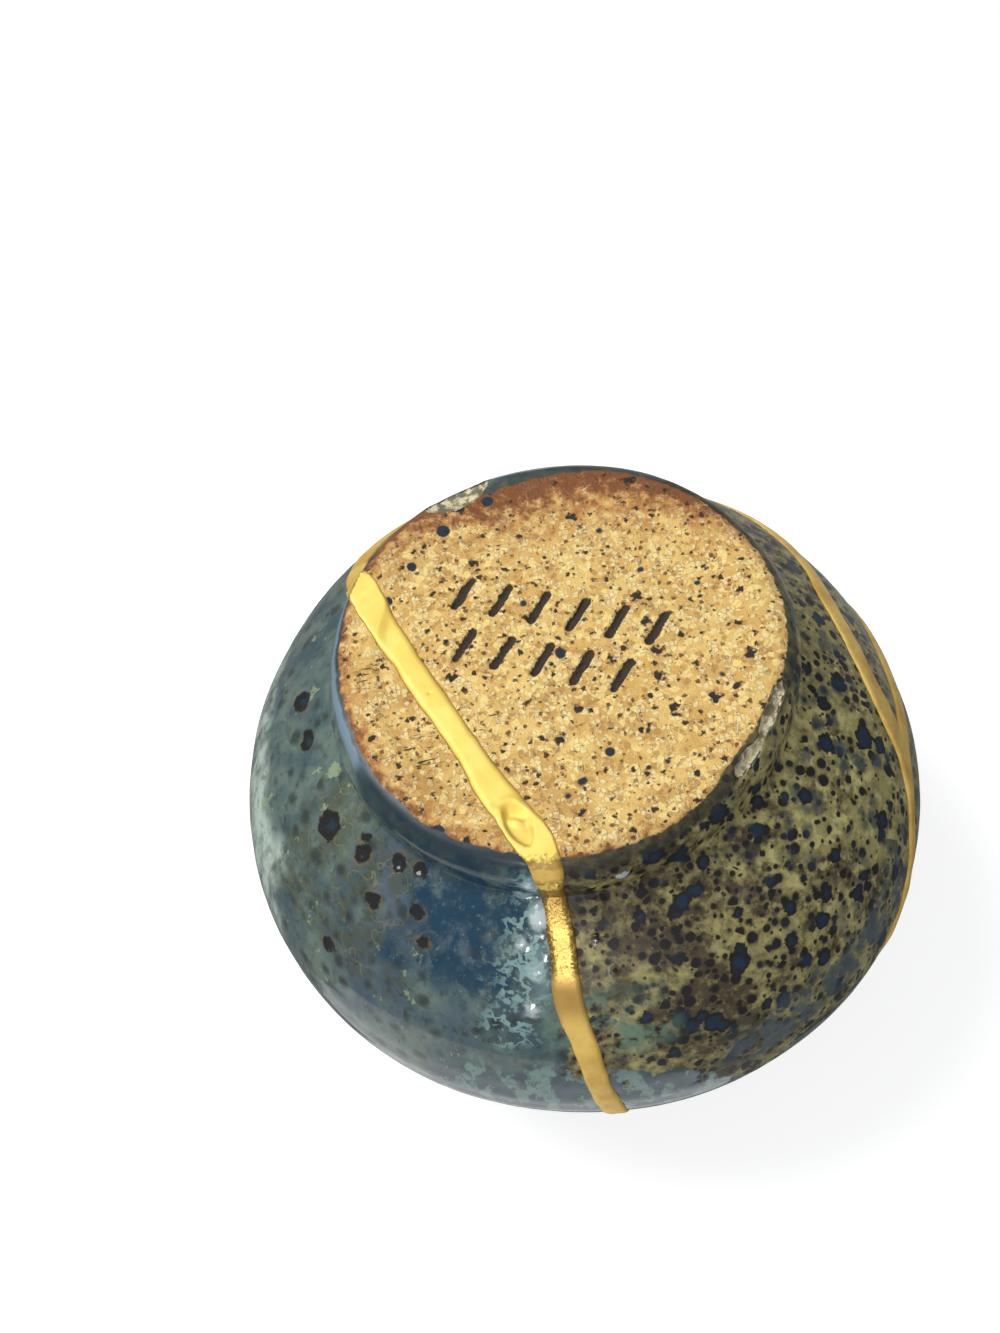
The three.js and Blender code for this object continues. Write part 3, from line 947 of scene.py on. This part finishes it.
def build_shard(grid, cells, name, materials):
    shard = Skin(grid, cells, SHARD_OVERLAP)
    inside, outside = shard.inside, ~shard.inside
    azimuth, arc = shard.azimuth[outside], shard.arc[outside]
    points = np.zeros((len(inside), 3))
    points[outside], calm, gold_gap = outer_face(azimuth, arc)
    points[inside] = inner_face(shard.azimuth[inside], shard.arc[inside])
    piece = make_mesh(name + "_finish", points, shard.faces, shard.kinds, materials, SHARP_CLAY)
    fields = {}
    for field, values in finish_fields(azimuth, arc, calm, gold_gap).items():
        fields[field] = np.zeros(len(inside))
        fields[field][outside] = values
    add_fields(piece.data, fields)
    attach(piece, BODY)
    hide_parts(name)


def gold_height(depth):
    """The gold's rounded section, by how far inside its edge a point is."""
    side = 1 - clamp(depth / GOLD["rounding"])
    return -GOLD["sunk"] + (GOLD["sunk"] + GOLD["proud"]) * np.sqrt(np.maximum(1 - side * side, 0))


def dent_places(points):
    """Each point's place along and across the gold's oval dent, in shares of its half axes."""
    along, across = along_and_across(points, GOLD_DENT["at"], GOLD_DENT["turn"])
    return along / GOLD_DENT["size"][0], across / GOLD_DENT["size"][1]


def dent_relief(points):
    """The dent's basin, steep on the left and gentle on the right, with a fold in it and a low rim."""
    along, across = dent_places(points)
    inside = 1 - np.hypot(along, across)
    slope = 0.3 + 0.5 * smoothstep(-0.3, 0.5, across)
    basin = smoothstep(0.0, slope, inside)
    fold = hump(along + 0.5 * across, 0.25, 0.2) * hump(across, 0.05, 0.45)
    rim = hump(inside, -0.12, 0.16)
    return GOLD_DENT["fold"] * fold - GOLD_DENT["depth"] * basin + GOLD_DENT["rim"] * rim


def painted_hollow_shade_share(points):
    """1 in the deep right half of the dent, where shade is painted on the gold."""
    along, across = dent_places(points)
    return hump(along, -0.15, 0.42) * hump(across, 0.2, 0.36)


def painted_crease_shade_share(points):
    """1 along the foot of the dent's steep left side, where a dark line of shade is painted."""
    along, across = dent_places(points)
    left = smoothstep(-0.1, -0.6, across) * smoothstep(0.5, 0.1, along)
    return left * hump(1 - np.hypot(along, across), 0.12, 0.08)


def gold_relief(azimuth, arc, points, depth):
    """The gold's rounded section with its dent, its pit, and the crumbs at its lip and its kink."""
    inner = smoothstep(*GOLD["calm_edge"], depth)
    pit = GOLD_PIT["radius"] - np.linalg.norm(points - np.array(GOLD_PIT["at"]), axis=1)
    lip = GOLD_LIP["rise"] * hump(arc - waves("gold_lip", points), GOLD_LIP["arc"], GOLD_LIP["width"])
    level = points[:, 2] - waves("gold_kink", points)
    kink = GOLD_KINK["rise"] * hump(level, GOLD_KINK["height"], GOLD_KINK["width"]) * (arc > GOLD_LIP["arc"])
    crumbs = (1 + waves("gold_crumbs", points)) * (lip + kink)
    relief = calm_relief(azimuth, arc, points) + gold_height(depth)
    relief -= GOLD_PIT["depth"] * smoothstep(*GOLD_PIT["edge"], pit)
    return relief + inner * (waves("gold", points) + dent_relief(points) + crumbs)


def build_gold(material):
    rows = np.linspace(0, POT.total, int(POT.total / GOLD_GRID["row_step"]))
    grid = Grid(GOLD_GRID["columns"], rows)
    skin = Skin(grid, gold_cells(grid), hidden=0.0)
    calm, normals = POT.place(skin.azimuth, skin.arc)
    depth = -edge_gap(calm)
    points = calm + normals * gold_relief(skin.azimuth, skin.arc, calm, depth)[:, None]
    inner = skin.inside
    points[inner] = inner_face(skin.azimuth[inner], skin.arc[inner], GOLD["inner_proud"])
    kinds = [0] * len(skin.faces)
    piece = make_mesh("gold_seam_finish", points, skin.faces, kinds, [material], SHARP_GOLD)
    add_fields(piece.data, {
        "depth": depth,
        "crease": painted_crease_shade_share(calm),
        "hollow": painted_hollow_shade_share(calm),
        "height": calm[:, 2],
        "outer_arc": skin.arc,
        "facing_front": on_side(skin.azimuth, "gold_front"),
    })
    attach(piece, BODY)
    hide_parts("gold_seam")


def light_of(display):
    """A display colour, each part 0 to 255, as the linear light that a shader works in."""
    def linear(part):
        share = part / 255
        return share / 12.92 if share <= 0.04045 else ((share + 0.055) / 1.055) ** 2.4
    return tuple(linear(part) for part in display) + (1.0,)


class Nodes:
    """The nodes of a material or of the world."""

    def __init__(self, owner):
        owner.use_nodes = True
        self.owner = owner
        self.tree = owner.node_tree
        self.tree.nodes.clear()

    def node(self, kind, inputs=(), output=0, **settings):
        """Makes a node, and gives one of its outputs if it has any."""
        made = self.tree.nodes.new(kind)
        for name, value in settings.items():
            setattr(made, name, value)
        for name, value in dict(inputs).items():
            self.put(made.inputs[name], value)
        return made.outputs[output] if made.outputs else None

    def put(self, socket, value):
        """Sets a socket to another node's output, a number, a vector or a display colour."""
        if isinstance(value, bpy.types.NodeSocket):
            self.tree.links.new(value, socket)
        elif socket.type == "RGBA":
            socket.default_value = light_of(value)
        else:
            socket.default_value = value

    def math(self, operation, first, second=0.0):
        return self.node("ShaderNodeMath", {0: first, 1: second}, operation=operation)

    def vector(self, operation, first, second=(0, 0, 0), output=0):
        return self.node("ShaderNodeVectorMath", {0: first, 1: second}, output, operation=operation)

    def both(self, first, second):
        return self.math("MULTIPLY", first, second)

    def added(self, first, second):
        return self.math("ADD", first, second)

    def centred(self, value):
        return self.math("SUBTRACT", value, 0.5)

    def carried(self, value, source, target):
        """A value carried smoothly from one range to another."""
        ends = {"From Min": source[0], "From Max": source[1], "To Min": target[0], "To Max": target[1]}
        return self.node("ShaderNodeMapRange", {"Value": value, **ends}, interpolation_type="SMOOTHSTEP")

    def step(self, value, low, high):
        """0 below low, 1 above high and smooth between, or the other way round if high is lower."""
        rising = low < high
        return self.carried(value, sorted((low, high)), (float(not rising), float(rising)))

    def between(self, value, rise, fall):
        """1 between two soft edges, each from one value to a higher one."""
        return self.both(self.step(value, *rise), self.step(value, *fall[::-1]))

    def mixed_shader(self, share, first, second):
        return self.node("ShaderNodeMixShader", {0: share, 1: first, 2: second})

    def finished(self, surface, kind="ShaderNodeOutputMaterial"):
        self.node(kind, {"Surface": surface})
        return self.owner


class Finish(Nodes):
    """A material with patterns whose sizes are millimetres on the object."""

    def __init__(self, name):
        super().__init__(bpy.data.materials.new(name))
        place = self.node("ShaderNodeTexCoord", output="Object")
        self.mm = self.vector("MULTIPLY", place, (1 / MM,) * 3)

    def field(self, name):
        return self.node("ShaderNodeAttribute", output="Fac", attribute_name=name)

    def pattern_place(self, sizes, seed, shift):
        """The place in units of some sizes, moved by a seed."""
        scaled = self.vector("MULTIPLY", self.mm, tuple(1 / size for size in sizes))
        return self.vector("ADD", scaled, tuple(seed * part for part in shift))

    def noise(self, size, kind=PLAIN, seed=0, stretch=EVEN):
        """Noise from 0 to 1 with bumps of about a size, drawn out by the stretch."""
        place = self.pattern_place([size * part for part in stretch], seed, NOISE_SHIFT)
        inputs = {"Vector": place, "Scale": 1.0, "Detail": kind[0], "Roughness": kind[1]}
        return self.node("ShaderNodeTexNoise", inputs, "Fac")

    def patches(self, size, low, high, kind=PLAIN, seed=0, stretch=EVEN):
        """1 where noise is high, fading to 0 between two of its values."""
        return self.step(self.noise(size, kind, seed, stretch), low, high)

    def ragged(self, value, reach, size, kind=PLAIN, seed=0):
        """A value made uneven by noise, over a reach in all."""
        return self.added(value, self.both(self.centred(self.noise(size, kind, seed)), reach))

    def veins(self, value, width):
        """Thin lines where a noise passes its middle."""
        return self.step(self.math("ABSOLUTE", self.centred(value)), width, width / 3)

    def cells(self, spacing, seed, feature="F1", stretch=1.0):
        """Distances in random cells at about a spacing, drawn out along the height."""
        place = self.pattern_place([spacing, spacing, spacing * stretch], seed, CELL_SHIFT)
        return self.node("ShaderNodeTexVoronoi", {"Vector": place, "Scale": 1.0}, "Distance", feature=feature)

    def chance(self, cells):
        """A random number from 0 to 1 for each cell."""
        return self.node("ShaderNodeSeparateColor", {0: cells.node.outputs["Color"]})

    def dots(self, spacing, radius, seed, soft=0.25, wobble=0.25, stretch=1.0):
        """1 inside round dots of many sizes up to a radius, scattered at about a spacing."""
        distance = self.cells(spacing, seed, stretch=stretch)
        reach = self.both(self.chance(distance), radius / spacing)
        inside = self.ragged(self.math("SUBTRACT", reach, distance), wobble, radius, DOT_EDGE, seed + 3)
        edge = soft * radius / spacing
        return self.step(inside, -edge, edge)

    def grains(self, spacing, share, seed):
        """1 inside a share of the angular grains that fill the clay at about a spacing."""
        chosen = self.step(self.chance(self.cells(spacing, seed)), 1 - share - 0.02, 1 - share + 0.02)
        to_edge = self.cells(spacing, seed, "DISTANCE_TO_EDGE")
        return self.both(chosen, self.step(self.ragged(to_edge, 0.25, spacing / 2, SMOOTH, seed), 0.02, 0.10))

    def mix(self, share, first, second):
        return self.node("ShaderNodeMix", {0: share, 6: first, 7: second}, 2, data_type="RGBA")

    def blend(self, share, first, second):
        return self.node("ShaderNodeMix", {0: share, 2: first, 3: second}, data_type="FLOAT")

    def layered(self, base, layers):
        """Lays colours over a base one by one, each as (colour, where it shows, strength)."""
        for colour, share, strength in layers:
            base = self.mix(self.both(share, strength), base, colour)
        return base

    def bump(self, height, depth, normal=None):
        """A bump of a depth for a height from 0 to 1."""
        under = {} if normal is None else {"Normal": normal}
        return self.node("ShaderNodeBump", {"Distance": depth * MM, "Height": height, **under})

    def shader(self, base, roughness, normal, metallic=0.0, specular=0.5):
        return self.node("ShaderNodeBsdfPrincipled", {
            "Base Color": base,
            "Roughness": roughness,
            "Normal": normal,
            "Metallic": metallic,
            "Specular IOR Level": specular,
        })


def clay_shader(f):
    """Coarse ochre clay with pale grains, dark pits and specks, toasted towards the glaze."""
    fine_grains = f.grains(0.75, 0.35, 16)
    toast = f.ragged(f.field("toast"), 2.2, 2.2, TORN)
    scratches = f.both(f.patches(0.5, 0.58, 0.66, SMOOTH, 19, SCRATCH_LINES), f.field("scratched"))
    stroke = f.ragged(f.field("stroke"), 1.2, 0.9, seed=20)
    chip = f.field("chip")
    chipped = f.mix(f.patches(1.8, 0.42, 0.60, seed=18), CLAY["chip_shade"], CLAY["chip"])
    # A dark line of painted shade in the crevice at the chip's edge.
    painted_crevice_shade = f.both(f.between(chip, (0.02, 0.1), (0.25, 0.5)), f.patches(1.5, 0.48, 0.54, SMOOTH, 28))
    base = f.layered(f.mix(f.patches(5.0, 0.36, 0.64), CLAY["ochre"], CLAY["sand"]), [
        (CLAY["brown"], f.patches(13.0, 0.50, 0.66, seed=10), 0.4),
        (CLAY["pale"], f.grains(1.25, 0.30, 11), 0.8),
        (CLAY["cream"], fine_grains, 0.55),
        (CLAY["brown"], f.grains(0.9, 0.22, 12), 0.6),
        (CLAY["dark"], f.patches(0.8, 0.63, 0.74, CRUMBLY, 15), 1),
        (CLAY["toast"], f.step(toast, 0.35, 1.2), 0.7),
        (CLAY["scorch"], f.step(toast, 0.85, 1.35), 0.8),
        (CLAY["dark"], f.dots(1.25, 0.38, 17, wobble=0.6), 1),
        (CLAY["pit"], f.dots(1.9, 0.5, 13, wobble=0.6), 1),
        (CLAY["speck"], f.dots(3.4, 0.85, 14, wobble=0.6), 1),
        (CLAY["speck"], scratches, 1),
        (CLAY["blue_speck"], f.step(f.field("clay_spot"), -0.12, 0.15), 1),
        (CLAY["stroke"], f.step(stroke, 0.25, 0.5), 1),
        (chipped, f.step(chip, 0.05, 0.3), 1),
        (CLAY["speck"], painted_crevice_shade, 1),
        (CLAY["brown"], f.step(f.field("gold_gap"), 0.2, 0.0), 1),
    ])
    grain = f.added(f.noise(0.45, CRUMBLY), f.both(fine_grains, 0.5))
    return f.shader(base, 0.85, f.bump(grain, 0.3))


def olive_colour(f):
    """Mottled brown and olive, with dense near-black dots and larger blue ones."""
    lean = f.field("olive_lean")
    olive = f.step(f.added(f.noise(6.0, TORN, 21), f.both(lean, 0.16)), 0.46, 0.68)
    streaks = f.dots(2.9, 1.6, 25, soft=0.4, wobble=0.5, stretch=2.0)
    return f.layered(f.mix(olive, OLIVE["brown"], OLIVE["olive"]), [
        (OLIVE["yellow"], f.patches(2.4, 0.48, 0.60, ROUGH, 29), f.blend(lean, 0.25, 0.9)),
        (OLIVE["umber"], f.patches(1.6, 0.48, 0.62, ROUGH, 27), f.blend(olive, 0.75, 0.3)),
        (OLIVE["umber"], f.dots(1.8, 1.35, 23, soft=0.5), f.blend(lean, 0.6, 0.35)),
        (OLIVE["dot"], f.dots(1.8, 0.98, 23, soft=0.15), 1),
        (OLIVE["dot"], f.dots(1.3, 0.5, 22, soft=0.2), 1),
        (OLIVE["slate"], f.both(streaks, lean), 0.85),
        (OLIVE["dot"], f.dots(5.0, 1.8, 24, soft=0.15, wobble=0.6, stretch=1.3), 1),
        (OLIVE["navy"], f.dots(5.0, 1.45, 24, soft=0.3, wobble=0.3, stretch=1.3), 1),
    ])


def slate_colour(f):
    """Grey-green, violet and blue glaze that ran down the wall, rusty where it blistered."""
    base = f.mix(f.patches(7.0, 0.34, 0.66, PLAIN, 31, RUN), SLATE["shade"], SLATE["grey_green"])
    rusty = f.both(f.field("rusty"), f.patches(3.4, 0.34, 0.62, ROUGH, 35))
    threads = f.veins(f.noise(6.0, SMOOTH, 56), 0.010)
    frost = f.patches(3.6, 0.49, 0.57, CRUMBLY, 37, FROST_RUN)
    flecks = f.added(f.noise(4.4, FLECKED, 34, FLECK_RUN), f.both(f.field("flecked"), 0.03))
    return f.layered(base, [
        (SLATE["violet"], f.both(f.field("violet"), f.patches(6.0, 0.30, 0.62, PLAIN, 32, RUN)), 0.85),
        (SLATE["rusty"], rusty, 0.7),
        (SLATE["thread"], f.both(threads, rusty), 0.4),
        (SLATE["brown"], f.dots(3.1, 1.4, 33, soft=0.5), 0.8),
        (SLATE["pale"], f.both(f.field("pale"), f.patches(5.0, 0.30, 0.58, PLAIN, 36, RUN)), 0.9),
        (SLATE["teal"], f.field("frost"), 0.7),
        (SLATE["frost"], f.both(f.field("frost"), frost), 0.8),
        (SLATE["fleck"], f.step(flecks, 0.64, 0.67), 0.7),
        (SLATE["brown"], f.patches(1.7, 0.50, 0.68, TORN, 38), 0.5),
    ])


def turquoise_layer(f):
    return SLATE["turquoise"], f.both(f.field("turquoise"), f.patches(3.6, 0.42, 0.58, ROUGH, 45)), 0.85


def thin_start(f, width):
    """1 where the glaze starts thinly at its line on the foot, over a width."""
    return f.step(f.field("past_glaze_line"), width, 0.5 * width)


def thin_layer(f, colours, width):
    edge = f.mix(f.patches(1.6, 0.48, 0.62, seed=47), colours["edge"], colours["thin_edge"])
    return edge, thin_start(f, width), 0.8


def crater_layers(f, unevenness):
    """Dark craters with a rusty rim and a blue middle."""
    crater = f.added(f.field("crater"), unevenness)
    rim = f.both(f.step(crater, -1.0, -0.3), f.patches(2.0, 0.45, 0.6, SMOOTH, 49))
    return [
        (SLATE["rusty_rim"], rim, 0.5),
        (SLATE["crater"], f.step(crater, -0.35, 0.05), 1),
        (SLATE["crater_middle"], f.step(crater, 0.8, 1.3), 1),
    ]


def lace_layers(f):
    """Milky glaze beside the front seam, with pale curls in it, pale specks in the blue next to it, and the
    blisters' milky white painted brighter as a highlight.
    """
    milk = f.both(f.patches(2.8, 0.40, 0.60, seed=50), f.step(f.field("gold_gap"), 3.6, 1.4))
    milky_white_and_painted_shine = f.ragged(f.field("blister"), 3.0, 2.4, seed=53)
    curls = f.veins(f.noise(4.6, seed=43), 0.04)
    lace = f.math("MAXIMUM", curls, f.both(f.patches(1.6, 0.55, 0.63, seed=46), 0.7))
    return [
        (SLATE["milk"], f.both(f.field("lace"), milk), 0.7),
        # The blisters' milky white, painted brighter as a highlight.
        (SLATE["white"], f.step(milky_white_and_painted_shine, -0.3, 1.1), 0.8),
        (SLATE["lace"], f.both(f.field("lace"), lace), 0.85),
        (SLATE["lace"], f.both(f.patches(0.9, 0.60, 0.70, GRITTY, 39), f.field("deep_blue")), 0.3),
    ]


def slate_glaze(f, unevenness, normal):
    blue = f.both(f.field("deep_blue"), f.patches(3.6, 0.36, 0.56, CRUMBLY, 42, RUN))
    past_line = f.ragged(f.field("past_glaze_line"), 1.0, 3.0, seed=54)
    # A thin pale line painted as a highlight along the foot's rounded edge.
    foot_line = f.both(f.between(past_line, (0.3, 0.9), (1.7, 2.8)), f.field("foot_line"))
    base = f.layered(slate_colour(f), [
        (SLATE["deep_blue"], blue, 0.9),
        turquoise_layer(f),
        *lace_layers(f),
        *crater_layers(f, unevenness),
        thin_layer(f, SLATE, SLATE_START),
        (SLATE["painted_highlight_blue"], foot_line, 0.75),
        (SLATE["foot_blue"], f.field("foot_blue"), 0.75),
    ])
    return f.shader(base, f.blend(thin_start(f, SLATE_START), 0.13, 0.4), normal)


def olive_glaze(f, unevenness, normal):
    # A pale blue-white painted highlight on the blisters beside the front seam.
    painted_glint = f.ragged(f.field("blister"), 2.4, 1.0, ROUGH, 55)
    spot = f.added(f.field("iron_spot"), unevenness)
    base = f.layered(olive_colour(f), [
        turquoise_layer(f),
        (OLIVE["slate_band"], f.both(f.field("slate_band"), f.patches(4.0, 0.40, 0.54, seed=30)), 0.85),
        (OLIVE["mist"], f.field("misty"), 0.4),
        (OLIVE["painted_glint"], f.step(painted_glint, 0.55, 0.95), 0.8),
        (OLIVE["dot"], f.step(spot, -0.2, 0.05), 1),
        (OLIVE["navy"], f.step(spot, 0.15, 0.7), 1),
        thin_layer(f, OLIVE, OLIVE_START),
    ])
    roughness = f.blend(f.step(f.field("blister"), -0.6, -0.1), 0.48, 0.10)
    return f.shader(base, roughness, normal, specular=0.35)


def glaze_shader(f):
    """The slate and the olive glaze, which meet in a ragged line."""
    olive = f.ragged(f.field("olive"), 1.4, 5.0, CRUMBLY, 41)
    unevenness = f.both(f.centred(f.noise(1.3, ROUGH, 48)), 1.8)
    normal = f.bump(f.noise(2.6, SMOOTH, 44), 0.05)
    glazes = [glaze(f, unevenness, normal) for glaze in (slate_glaze, olive_glaze)]
    return f.mixed_shader(f.step(olive, 0.42, 0.56), *glazes)


def outside_finish(name):
    f = Finish(name)
    edge = f.ragged(f.field("past_glaze_line"), 1.4, 1.6, CRUMBLY)
    glazed = f.both(f.step(edge, -0.15, 0.15), f.step(f.field("chip"), 0.25, 0.1))
    return f.finished(f.mixed_shader(glazed, clay_shader(f), glaze_shader(f)))


def inside_finish():
    f = Finish("inside_glaze")
    base = f.mix(f.patches(9.0, 0.4, 0.65, SOFT, 51), SLATE["shade"], SLATE["grey_green"])
    base = f.mix(f.dots(3.0, 0.9, 52), base, SLATE["brown"])
    return f.finished(f.shader(base, 0.25, f.bump(f.noise(3.0, SMOOTH, 53), 0.06)))


def broken_finish():
    f = Finish("broken_clay")
    base = f.mix(f.patches(1.5, 0.4, 0.6, SOFT, 61), CLAY["ochre"], CLAY["sand"])
    return f.finished(f.shader(base, 0.9, f.bump(f.noise(0.6, SOFT, 62), 0.2)))


def base_gold(f, broad, crumbly):
    """The pale gold across the base, with shade painted in the dent."""
    return f.layered(f.mix(broad, GILT["base_shade"], GILT["base"]), [
        # Painted shade in the dent's deep half, and a painted dark line at the foot of its left side.
        (GILT["ochre"], f.field("hollow"), 0.6),
        (GILT["brown"], f.field("crease"), 0.6),
        (GILT["olive"], crumbly, 0.7),
    ])


def gold_grit(f, grains):
    """Dark grit between the grains, more of it at the gold's edges and low on the wall."""
    at_edge = f.both(f.step(f.field("depth"), 1.5, 0.5), 0.16)
    low_down = f.both(f.step(f.field("height"), 10.5, 7.5), 0.15)
    return f.step(f.added(grains, f.added(at_edge, low_down)), 0.57, 0.66)


def gold_finish():
    """Pale satin gold on the base, and deeper gold on the wall, granular where it crosses the waist."""
    f = Finish("gold")
    on_front = f.step(f.field("facing_front"), 0.2, 0.8)
    bands = [f.both(f.between(f.field("height"), *edges), on_front) for edges in GOLD_BANDS]
    granular, painted_shade, dull = bands
    arc = f.ragged(f.field("outer_arc"), 3.0, 1.1, ROUGH, 75)
    kink = f.between(f.ragged(f.field("height"), 2.4, 1.4, ROUGH, 76), (3.4, 3.9), (4.6, 5.2))
    broad = f.patches(5.0, 0.35, 0.65, SATIN, 71)
    grains = f.noise(0.5, GRITTY, 72)
    crumbly = f.both(f.both(f.step(arc, 33.3, 34.0), f.step(grains, 0.48, 0.56)), on_front)
    base = f.layered(f.mix(broad, GILT["ochre"], GILT["light_ochre"]), [
        # Painted shade on the front gold between heights of about 15 and 24 mm.
        (GILT["olive"], painted_shade, 0.8),
        (GILT["bright"], granular, 1),
        (GILT["brown"], dull, 0.35),
        (GILT["brown"], f.both(gold_grit(f, grains), granular), 0.75),
        # Painted highlight: pale gold along the kink at the waist.
        (GILT["base"], f.both(kink, on_front), 0.85),
        # Painted shade on the gold just below its lip at the base's edge.
        (GILT["brown"], f.between(arc, (34.4, 34.7), (34.9, 36.0)), 0.6),
        (base_gold(f, broad, crumbly), f.step(arc, 34.6, 34.4), 1),
        # A painted shadow line along the gold's edges.
        (GILT["brown"], f.step(f.field("depth"), 0.14, 0.0), 0.7),
    ])
    polished = f.both(granular, f.blend(dull, 1.0, 0.35))
    grain = f.bump(f.both(f.noise(0.4, PLAIN, 73), granular), 0.10)
    normal = f.bump(f.noise(2.2, SMOOTH, 74), 0.05, grain)
    roughness = f.blend(polished, 0.55, 0.32)
    return f.finished(f.shader(base, roughness, normal, metallic=f.blend(polished, 0.25, 0.75)))


def build_camera():
    data = bpy.data.cameras.new("photo_view")
    data.sensor_width = CAMERA["sensor"]
    data.lens = CAMERA["lens"]
    data.clip_start = CAMERA["clip"]
    camera = bpy.data.objects.new("photo_view", data)
    axes = Matrix((CAMERA["right"], CAMERA["up"], CAMERA["back"])).transposed()
    camera.matrix_world = Matrix.Translation(Vector(CAMERA["at"]) * MM) @ axes.to_4x4()
    bpy.context.scene.collection.objects.link(camera)
    bpy.context.scene.camera = camera


def one_sided_paper(name, fade=None):
    """Pale paper that can't be seen from behind and fades out from one radius in metres to another."""
    f = Finish(name)
    seen = f.math("SUBTRACT", 1.0, f.node("ShaderNodeNewGeometry", output="Backfacing"))
    if fade is not None:
        away = f.vector("LENGTH", f.mm, output="Value")
        seen = f.both(seen, f.step(away, fade[1] / MM, fade[0] / MM))
    matt = f.node("ShaderNodeBsdfDiffuse", {"Color": PAPER["matt"]})
    lit = f.node("ShaderNodeEmission", {"Strength": PAPER["lit"]})
    paper = f.node("ShaderNodeAddShader", {0: matt, 1: lit})
    return f.finished(f.mixed_shader(seen, f.node("ShaderNodeBsdfTransparent"), paper))


def flat_sheet(name, size, height, facing_up, material):
    half = size / 2
    corners = [(-half, -half, 0), (half, -half, 0), (half, half, 0), (-half, half, 0)]
    mesh = bpy.data.meshes.new(name)
    mesh.from_pydata(corners, [], [(0, 1, 2, 3) if facing_up else (3, 2, 1, 0)])
    mesh.materials.append(material)
    sheet = bpy.data.objects.new(name, mesh)
    sheet.location.z = height
    bpy.context.scene.collection.objects.link(sheet)
    for kind in ("diffuse", "glossy", "transmission", "shadow"):
        setattr(sheet, "visible_" + kind, False)


def build_stage():
    """A floor seen only from above, and a pale sheet at the mouth seen only from below."""
    flat_sheet("floor", FLOOR["size"], FLOOR["height"], True, one_sided_paper("floor"))
    fade = (SHEET["solid"], SHEET["radius"])
    flat_sheet("sheet", 2 * SHEET["radius"], SHEET["height"], False, one_sided_paper("sheet", fade))


def build_lights():
    for name, light in LIGHTS.items():
        data = bpy.data.lights.new(name, "AREA")
        data.shape = "DISK"
        data.size = light["size"]
        data.energy = light["power"]
        lamp = bpy.data.objects.new(name, data)
        direction = Vector(light["from"]).normalized()
        lamp.location = MIDDLE + direction * light["far"]
        lamp.rotation_euler = direction.to_track_quat("Z", "Y").to_euler()
        bpy.context.scene.collection.objects.link(lamp)


def build_world():
    """A soft sky that lights the vase, and plain white where the camera sees it."""
    f = Nodes(bpy.data.worlds.new("studio"))
    direction = f.node("ShaderNodeTexCoord", output="Generated")
    towards = f.vector("DOT_PRODUCT", direction, SKY["towards"], "Value")
    strength = f.carried(towards, SKY["turn"], SKY["strength"])
    sky = f.node("ShaderNodeBackground", {"Color": SKY["colour"], "Strength": strength})
    seen = f.node("ShaderNodeBackground", {"Color": WHITE, "Strength": 1.0})
    camera_ray = f.node("ShaderNodeLightPath", output="Is Camera Ray")
    surface = f.mixed_shader(camera_ray, sky, seen)
    bpy.context.scene.world = f.finished(surface, "ShaderNodeOutputWorld")
    bpy.context.scene.view_settings.view_transform = "Standard"


def build_vase():
    grid = Grid(COLUMNS, rows_of_arc())
    inside, broken = inside_finish(), broken_finish()
    for name, cells in shard_cells(grid).items():
        build_shard(grid, cells, name, [outside_finish(SHARDS[name]["slot"]), inside, broken])
    build_gold(gold_finish())


build_camera()
build_stage()
build_world()
build_lights()
build_vase()
